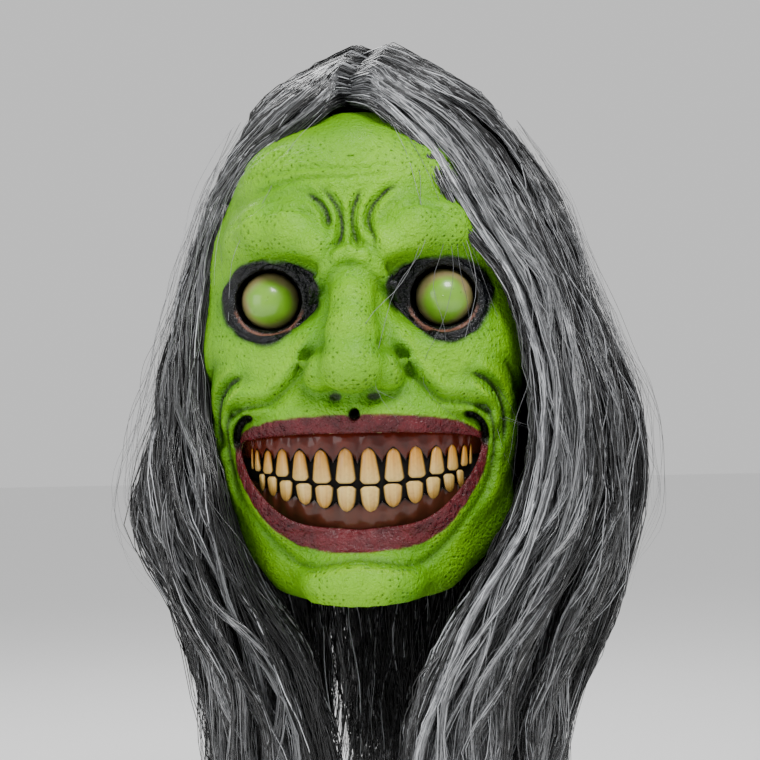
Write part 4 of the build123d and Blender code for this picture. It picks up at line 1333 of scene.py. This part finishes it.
def stray_strands(wig):
    """Fine strands that stand off the hair or fall across the face."""
    rng = np.random.default_rng(77)
    for side in (-1, 1):
        word = "left" if side < 0 else "right"
        _, turns = guides(side)
        n = 90
        u = rng.uniform(0.6, 4.2, n)
        i = u.astype(int)
        f = (u - i)[:, None]
        turn = turns[i] * (1 - f) + turns[i + 1] * f
        top = rng.integers(1, 6, n)
        controls = []
        for j in range(n):
            z = np.linspace(GUIDE_Z[top[j]], rng.uniform(-150, GUIDE_Z[top[j]] - 60), 7)
            here = np.interp(-z, -GUIDE_Z, turn[j]) + rng.normal(0, 0.05)
            here = here + side * np.linspace(0, rng.normal(0, 0.15), 7)
            out = 1.0 + np.array((0, 0.12, 0.26, 0.34, 0.30, 0.18, 0.04)) * rng.uniform(0.1, 1.1)
            controls.append(on_hair(here, z, out))
        paths = strand_paths(np.array(controls), 25)
        paths = waved(paths, rng, np.arange(n), np.full(n, 3.0), 1.2)
        radius = rng.uniform(0.07, 0.13, n)
        wig.put(f"hair_side_{word}_outer", paths, radius, tones(rng, np.full(n, 0.55), 25))
    crossing = [
        ((30, 94), (46, 60), (60, 20), (52, -20), (70, -48), (104, -58)),
        ((24, 100), (38, 70), (50, 30), (44, 0), (36, -30), (58, -60)),
        ((34, 90), (52, 50), (70, 0), (88, -30), (112, -40), (128, -60)),
        ((20, 102), (30, 76), (34, 40), (22, 10), (10, -30), (22, -52)),
        ((38, 86), (60, 40), (84, -4), (100, -44), (92, -80), (80, -110)),
        ((28, 96), (34, 60), (30, 24), (12, 4), (4, -24), (30, -44)),
        ((42, 80), (52, 40), (60, -10), (78, -50), (74, -80), (60, -120)),
        ((36, 90), (44, 66), (56, 34), (66, 8), (84, -14), (106, -24)),
        ((26, 98), (40, 80), (54, 56), (74, 36), (96, 10), (116, -20)),
        ((-14, 104), (-34, 84), (-46, 60), (-60, 30), (-66, -10), (-70, -40)),
        ((40, 84), (48, 50), (42, 10), (50, -24), (62, -44), (90, -60)),
        ((30, 95), (56, 58), (78, 20), (80, -20), (66, -50), (84, -90)),
    ]
    for points in crossing:
        places = []
        for x, z in points:
            skin = 10 - 100 * math.sqrt(max(0.03, 1 - (x / 90) ** 2 - ((z - 15) / 116) ** 2))
            clear = 15 + 16 * max(0, 1 - abs(x) / 30)
            y = min(skin, jaw_y(min(abs(x), 70), z, 0)) - clear
            places.append((x + rng.normal(0, 1), y, z))
        path = strand_paths(np.array([places]), 25)
        path = waved(path, rng, np.zeros(1, dtype=int), np.full(1, 1.5), 0.8)
        wig.put("hair_front_right_outer", path, np.array([0.13]), tones(rng, np.array([0.5]), 25))


def make_hair():
    """Every hair piece."""
    wig = Wig()
    for side in (-1, 1):
        main_strands(wig, side)
        under_strands(wig, side)
    stray_strands(wig)
    wig.make()


# ---------------------------------------------------------------- cap, bindings and strap

CAP_HEM_Z = -25
HEM_WIDTH = 9
TRACK_LEVELS = {"nape": -20, "lower": 8, "middle": 34, "upper": 60, "crown": 84}
TRACK_WIDTH = 5
TAPE_STEPS = 320
STRAP_RADIUS = 66.4
STRAP_CENTRE_Y = 17
STRAP_LEVELS = (-57.0, -43.0)


def skull_normal(points):
    """The skull form's outward direction."""
    normal = (points - np.array(SKULL[0], dtype=float)) / np.array(SKULL[1], dtype=float) ** 2
    return normal / np.linalg.norm(normal, axis=-1, keepdims=True)


def on_skull_at(turn, z):
    """Points on the skull form at azimuths from the back and levels."""
    half = SKULL[1]
    rest = np.sqrt(np.maximum(1 - ((z - SKULL[0][2]) / half[2]) ** 2, 0.0))
    x = half[0] * rest * np.sin(turn)
    y = SKULL[0][1] + half[1] * rest * np.cos(turn)
    return np.stack([x, y, z + 0 * x], axis=-1)


def slab(name, points, normals, inner, outer, relief, mat, node, closed=False):
    """A closed strip or sheet: a grid of points thickened between two offsets along its normals."""
    rows, columns = points.shape[:2]
    top = points + normals * (outer + relief)[..., None]
    low = points + normals * inner
    verts = np.concatenate([top.reshape(-1, 3), low.reshape(-1, 3)])
    n = rows * columns
    grid = np.arange(n).reshape(rows, columns)
    across = grid if not closed else np.concatenate([grid, grid[:, :1]], axis=1)
    a, b, c, d = across[:-1, :-1], across[:-1, 1:], across[1:, 1:], across[1:, :-1]
    face_out = np.stack([a, b, c, d], axis=-1).reshape(-1, 4)
    sides = [across[0], across[-1][::-1]]
    if not closed:
        sides += [grid[::-1, 0], grid[:, -1]]
    quads = [face_out, face_out[:, ::-1] + n]
    for edge in sides:
        quads.append(np.stack([edge[1:], edge[:-1], edge[:-1] + n, edge[1:] + n], axis=-1))
    piece = build(name, verts, [np.concatenate(quads).astype(np.int64)])
    wear(piece, mat)
    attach(piece, "mask")
    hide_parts(node)
    return piece


def seam_turn(z, shift=0.0):
    """The azimuth from the back at which the seam, moved back by a distance, crosses a level."""
    rest = np.sqrt(np.maximum(1 - ((z - SKULL[0][2]) / SKULL[1][2]) ** 2, 1e-4))
    back = seam_y(np.maximum(z, SEAM_FOOT_Z)) + shift - SKULL[0][1]
    return np.arccos(np.clip(back / (SKULL[1][1] * rest), -1, 1))


def make_cap():
    """The stretch net cap, gathered a little towards its hem."""
    rows, columns = 110, 260
    middle = np.array((0.0, 48.0, 38.0))
    axis = np.array((0.0, 0.72, 0.69))
    across = np.array((1.0, 0.0, 0.0))
    upward = np.cross(across, axis)
    turn = np.linspace(0, 2 * math.pi, columns, endpoint=False)
    half = np.array(SKULL[1], dtype=float)
    centre = np.array(SKULL[0], dtype=float)

    def ray(tilt):
        side = np.cos(turn)[:, None] * across + np.sin(turn)[:, None] * upward
        way = np.cos(tilt)[:, None] * axis + np.sin(tilt)[:, None] * side
        o, w = (middle - centre) / half, way / half
        a, b, c = (w * w).sum(1), (w * o).sum(1), (o * o).sum() - 1
        return middle + way * ((-b + np.sqrt(b * b - a * c)) / a)[:, None]

    low, high = np.full(columns, 0.2), np.full(columns, 2.9)
    for _ in range(34):
        mid = (low + high) / 2
        spot = ray(mid)
        inside = (spot[:, 1] > seam_y(np.maximum(spot[:, 2], SEAM_FOOT_Z))) & (spot[:, 2] > CAP_HEM_Z)
        low, high = np.where(inside, mid, low), np.where(inside, high, mid)
    share = np.linspace(0.004, 1, rows)
    points = np.stack([ray(low * t) for t in share])
    normals = skull_normal(points)
    edge = smooth01((share - 0.80) / 0.2)[:, None]
    relief = -0.25 - 0.25 * edge * (1 + np.sin(turn * 58 + 2 * np.sin(turn * 5)))[None, :]
    relief = relief + 0.16 * np.sin(share * 330)[:, None] * np.sin(turn * 130)[None, :]
    piece = slab("cap_net", points[::-1], normals[::-1], -1.15, np.zeros((rows, columns)), relief[::-1],
                 BARE["wig_cap"], "wig_cap", closed=True)


def make_band(name, node, low, high, inner, outer, shift, mat, ribs, pucker, step=520):
    """A band round the back of the head between two levels, from seam to seam."""
    rows = 16
    z = np.linspace(low, high, rows)[:, None]
    reach = seam_turn(z, shift)
    turn = np.linspace(-1, 1, step)[None, :] * reach
    points = on_skull_at(turn, z + 0 * turn)
    share = np.linspace(0, 1, rows)[:, None]
    relief = 0.10 * np.cos(share * 2 * math.pi * ribs) + pucker * np.sin(turn * 95 + 3 * share)
    outer = np.full(relief.shape, outer)
    piece = slab(name, points, skull_normal(points), inner, outer, relief - 0.12 - pucker, mat, node)
    return piece


def make_tape():
    """The twill tape over the seam, from one side over the top to the other."""
    centre, half = np.array(SKULL[0], dtype=float), np.array(SKULL[1], dtype=float)
    turns = np.linspace(-1, 1, TAPE_STEPS)
    rows = 13
    grid = []
    for shift in np.linspace(-6.5, 6.5, rows):
        best = 0.0
        for top in np.linspace(90, 124, 600):
            y = seam_y(top) + shift
            if ((y - centre[1]) / half[1]) ** 2 + ((top - centre[2]) / half[2]) ** 2 < 1:
                best = top
        angle = turns * math.pi / 2
        level_z = -9.5 + (best + 9.5) * np.cos(angle)
        y = seam_y(level_z) + shift
        rest = 1 - ((y - centre[1]) / half[1]) ** 2 - ((level_z - centre[2]) / half[2]) ** 2
        x = half[0] * np.sqrt(np.maximum(rest, 0)) * np.sign(angle)
        grid.append(np.stack([x, y, level_z], axis=-1))
    points = np.array(grid)
    weave = 0.07 * np.sin(np.arange(TAPE_STEPS) * 1.4)[None, :] * np.ones((rows, 1))
    weave[[1, -2]] -= 0.18
    piece = slab("seam_twill_tape", points[::-1], skull_normal(points)[::-1], 0.05,
                 np.full((rows, TAPE_STEPS), 0.8), weave, BARE["seam_tape"], "seam_tape")


def make_part():
    """The mesh strip along the crown that the top hair is knotted through."""
    y = np.linspace(-39, 47, 120)[None, :]
    x = np.linspace(-5.9, 5.9, 13)[:, None]
    centre, half = SKULL
    rest = 1 - (x / half[0]) ** 2 - ((y - centre[1]) / half[1]) ** 2
    z = centre[2] + half[2] * np.sqrt(rest)
    points = np.stack(np.broadcast_arrays(x, y, z), axis=-1)
    relief = 0.1 * np.sin(np.arange(120) * 1.5)[None, :] * np.cos(np.arange(13) * 1.5)[:, None]
    piece = slab("part_mesh_strip", points, skull_normal(points), 0.05, np.full(relief.shape, 0.85), relief,
                 BARE["part_strip"], "part_strip")


def make_strap():
    """The ribbed elastic strap round the nape."""
    rows, columns = 31, 420
    turn = np.linspace(0.001, math.pi - 0.001, columns)[None, :]
    z = np.linspace(*STRAP_LEVELS, rows)[:, None] + 0.25 * np.sin(turn * 7)
    normals = np.stack(np.broadcast_arrays(np.cos(turn), np.sin(turn), 0 * z), axis=-1)
    across, back = STRAP_RADIUS * np.cos(turn), STRAP_CENTRE_Y + STRAP_RADIUS * np.sin(turn)
    points = np.stack(np.broadcast_arrays(across, back, z), axis=-1)
    share = np.linspace(0, 1, rows)[:, None]
    relief = 0.09 * np.cos(share * 2 * math.pi * 7) * (1 + 0.5 * np.sin(turn * 300)) - 0.1
    piece = slab("strap_ribbed_band", points[:, ::-1], normals[:, ::-1], 0.0, np.full((rows, columns), 1.4),
                 relief[:, ::-1], BARE["head_strap"], "head_strap")


def make_bindings():
    """Hem, tracks, tape, parting strip and strap."""
    make_band("hem_ribbed_band", "cap_hem_elastic", CAP_HEM_Z - HEM_WIDTH, CAP_HEM_Z,
              -2.2, 0.0, 0.0, BARE["cap_hem_elastic"], 4, 0.12)
    for word, z in TRACK_LEVELS.items():
        make_band("track_stitching_" + word, "weft_track_" + word, z, z + TRACK_WIDTH,
                  0.05, 1.15, 6.5, BARE["weft"], 3, 0.06, 700)
    make_tape()
    make_part()
    make_strap()


# ---------------------------------------------------------------- set

MATERIALS["eye"] = eye_material()
MATERIALS["gum"] = gum_material()
MATERIALS["tooth"] = tooth_material()
MATERIALS["hair"] = hair_material()

make_face()
make_eye(-1, "eyeball_left")
make_eye(1, "eyeball_right")
make_teeth("teeth_upper", UPPER_ARCH, 1, 17.5)
make_teeth("teeth_lower", LOWER_ARCH, -1, 13.0)
make_gum("gum_upper", UPPER_ARCH, 1)
make_gum("gum_lower", LOWER_ARCH, -1)
make_hair()

# the name, two tones, roughness, grain, bump, weave, metal and coat of each plain material
PLAIN = {
    "mouth_plate": ("mouth_soot", (0.001, 0.0008, 0.0008), (0.003, 0.002, 0.002), 0.95),
    "wig_cap": ("cap_net", (0.008, 0.008, 0.009), (0.02, 0.02, 0.022), 0.8, 400, 0.7, 900),
    "cap_hem_elastic": ("ribbed_elastic", (0.01, 0.01, 0.011), (0.028, 0.028, 0.03), 0.75, 500, 0.7, 500),
    "seam_tape": ("twill_tape", (0.006, 0.006, 0.007), (0.018, 0.018, 0.02), 0.8, 500, 0.6, 700),
    "part_strip": ("part_mesh", (0.015, 0.015, 0.015), (0.035, 0.035, 0.035), 0.75, 500, 0.6, 900),
    "weft": ("weft_stitching", (0.008, 0.008, 0.008), (0.025, 0.025, 0.025), 0.7, 600, 0.7, 600),
    "strap_tab": ("tab_latex", (0.1, 0.22, 0.01), (0.16, 0.3, 0.02), 0.5, 200, 0.4),
    "tab_rivets": ("rivet_metal", (0.45, 0.45, 0.46), (0.62, 0.62, 0.63), 0.28, 300, 0.1, 0, 1),
    "head_strap": ("strap_elastic", (0.012, 0.012, 0.013), (0.035, 0.035, 0.037), 0.75, 500, 0.8, 420),
    "strap_slider": ("slider_plastic", (0.01, 0.01, 0.01), (0.016, 0.016, 0.016), 0.3, 300, 0.1, 0, 0, 0.3),
}
BARE = {key: plain_material(*values) for key, values in PLAIN.items()}
for node in ("mouth_plate", "strap_tab_left", "strap_tab_right", "tab_rivets", "strap_slider"):
    key = "strap_tab" if node.startswith("strap_tab") else node
    wear(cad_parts[node], BARE[key])
make_cap()
make_bindings()

# ---------------------------------------------------------------- camera, light and floor


def place_camera():
    """Faces the mask from a little to its left, level with the nose."""
    turn, lens, width = math.radians(4.5), 120.0, 0.380
    aim = Vector((0.0112, -0.075, -0.030))
    distance = width * lens / 36.0
    data = bpy.data.cameras.new("camera")
    data.lens = lens
    camera = bpy.data.objects.new("camera", data)
    camera.location = aim + Vector((math.sin(turn), -math.cos(turn), 0)) * distance
    look = (aim - camera.location).to_track_quat("-Z", "Y")
    camera.rotation_euler = (look.to_matrix() @ Matrix.Rotation(math.radians(-1.3), 3, "Z")).to_euler()
    bpy.context.scene.collection.objects.link(camera)
    bpy.context.scene.camera = camera


def place_light(name, where, target, size, power):
    """A soft square lamp."""
    data = bpy.data.lights.new(name, "AREA")
    data.size = size
    data.energy = power
    lamp = bpy.data.objects.new(name, data)
    lamp.location = where
    lamp.rotation_euler = (Vector(target) - Vector(where)).to_track_quat("-Z", "Y").to_euler()
    bpy.context.scene.collection.objects.link(lamp)


def place_set():
    """A pale floor below the hair, a pale world and soft lamps."""
    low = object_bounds()[0][2] - 0.03
    mesh = bpy.data.meshes.new("floor")
    r = 6.0
    mesh.from_pydata([(-r, -r, low), (r, -r, low), (r, r, low), (-r, r, low)], [], [(0, 1, 2, 3)])
    floor = bpy.data.objects.new("floor", mesh)
    bpy.context.scene.collection.objects.link(floor)
    mat, _, p = shader("pale_floor")
    p.inputs["Base Color"].default_value = (0.86, 0.86, 0.86, 1)
    p.inputs["Roughness"].default_value = 0.7
    wear(floor, mat)
    world = bpy.data.worlds.new("world")
    bpy.context.scene.world = world
    world.use_nodes = True
    back = world.node_tree.nodes["Background"]
    back.inputs[0].default_value = (1, 1, 1, 1)
    back.inputs[1].default_value = 0.75
    place_light("key", (0.35, -0.85, 1.0), (0, -0.05, 0), 0.42, 17)
    place_light("fill", (-0.9, -0.8, 0.1), (0, -0.05, -0.05), 0.7, 4)
    place_light("rim", (-0.3, 0.8, 0.9), (0, 0, 0), 0.6, 10)


place_camera()
place_set()
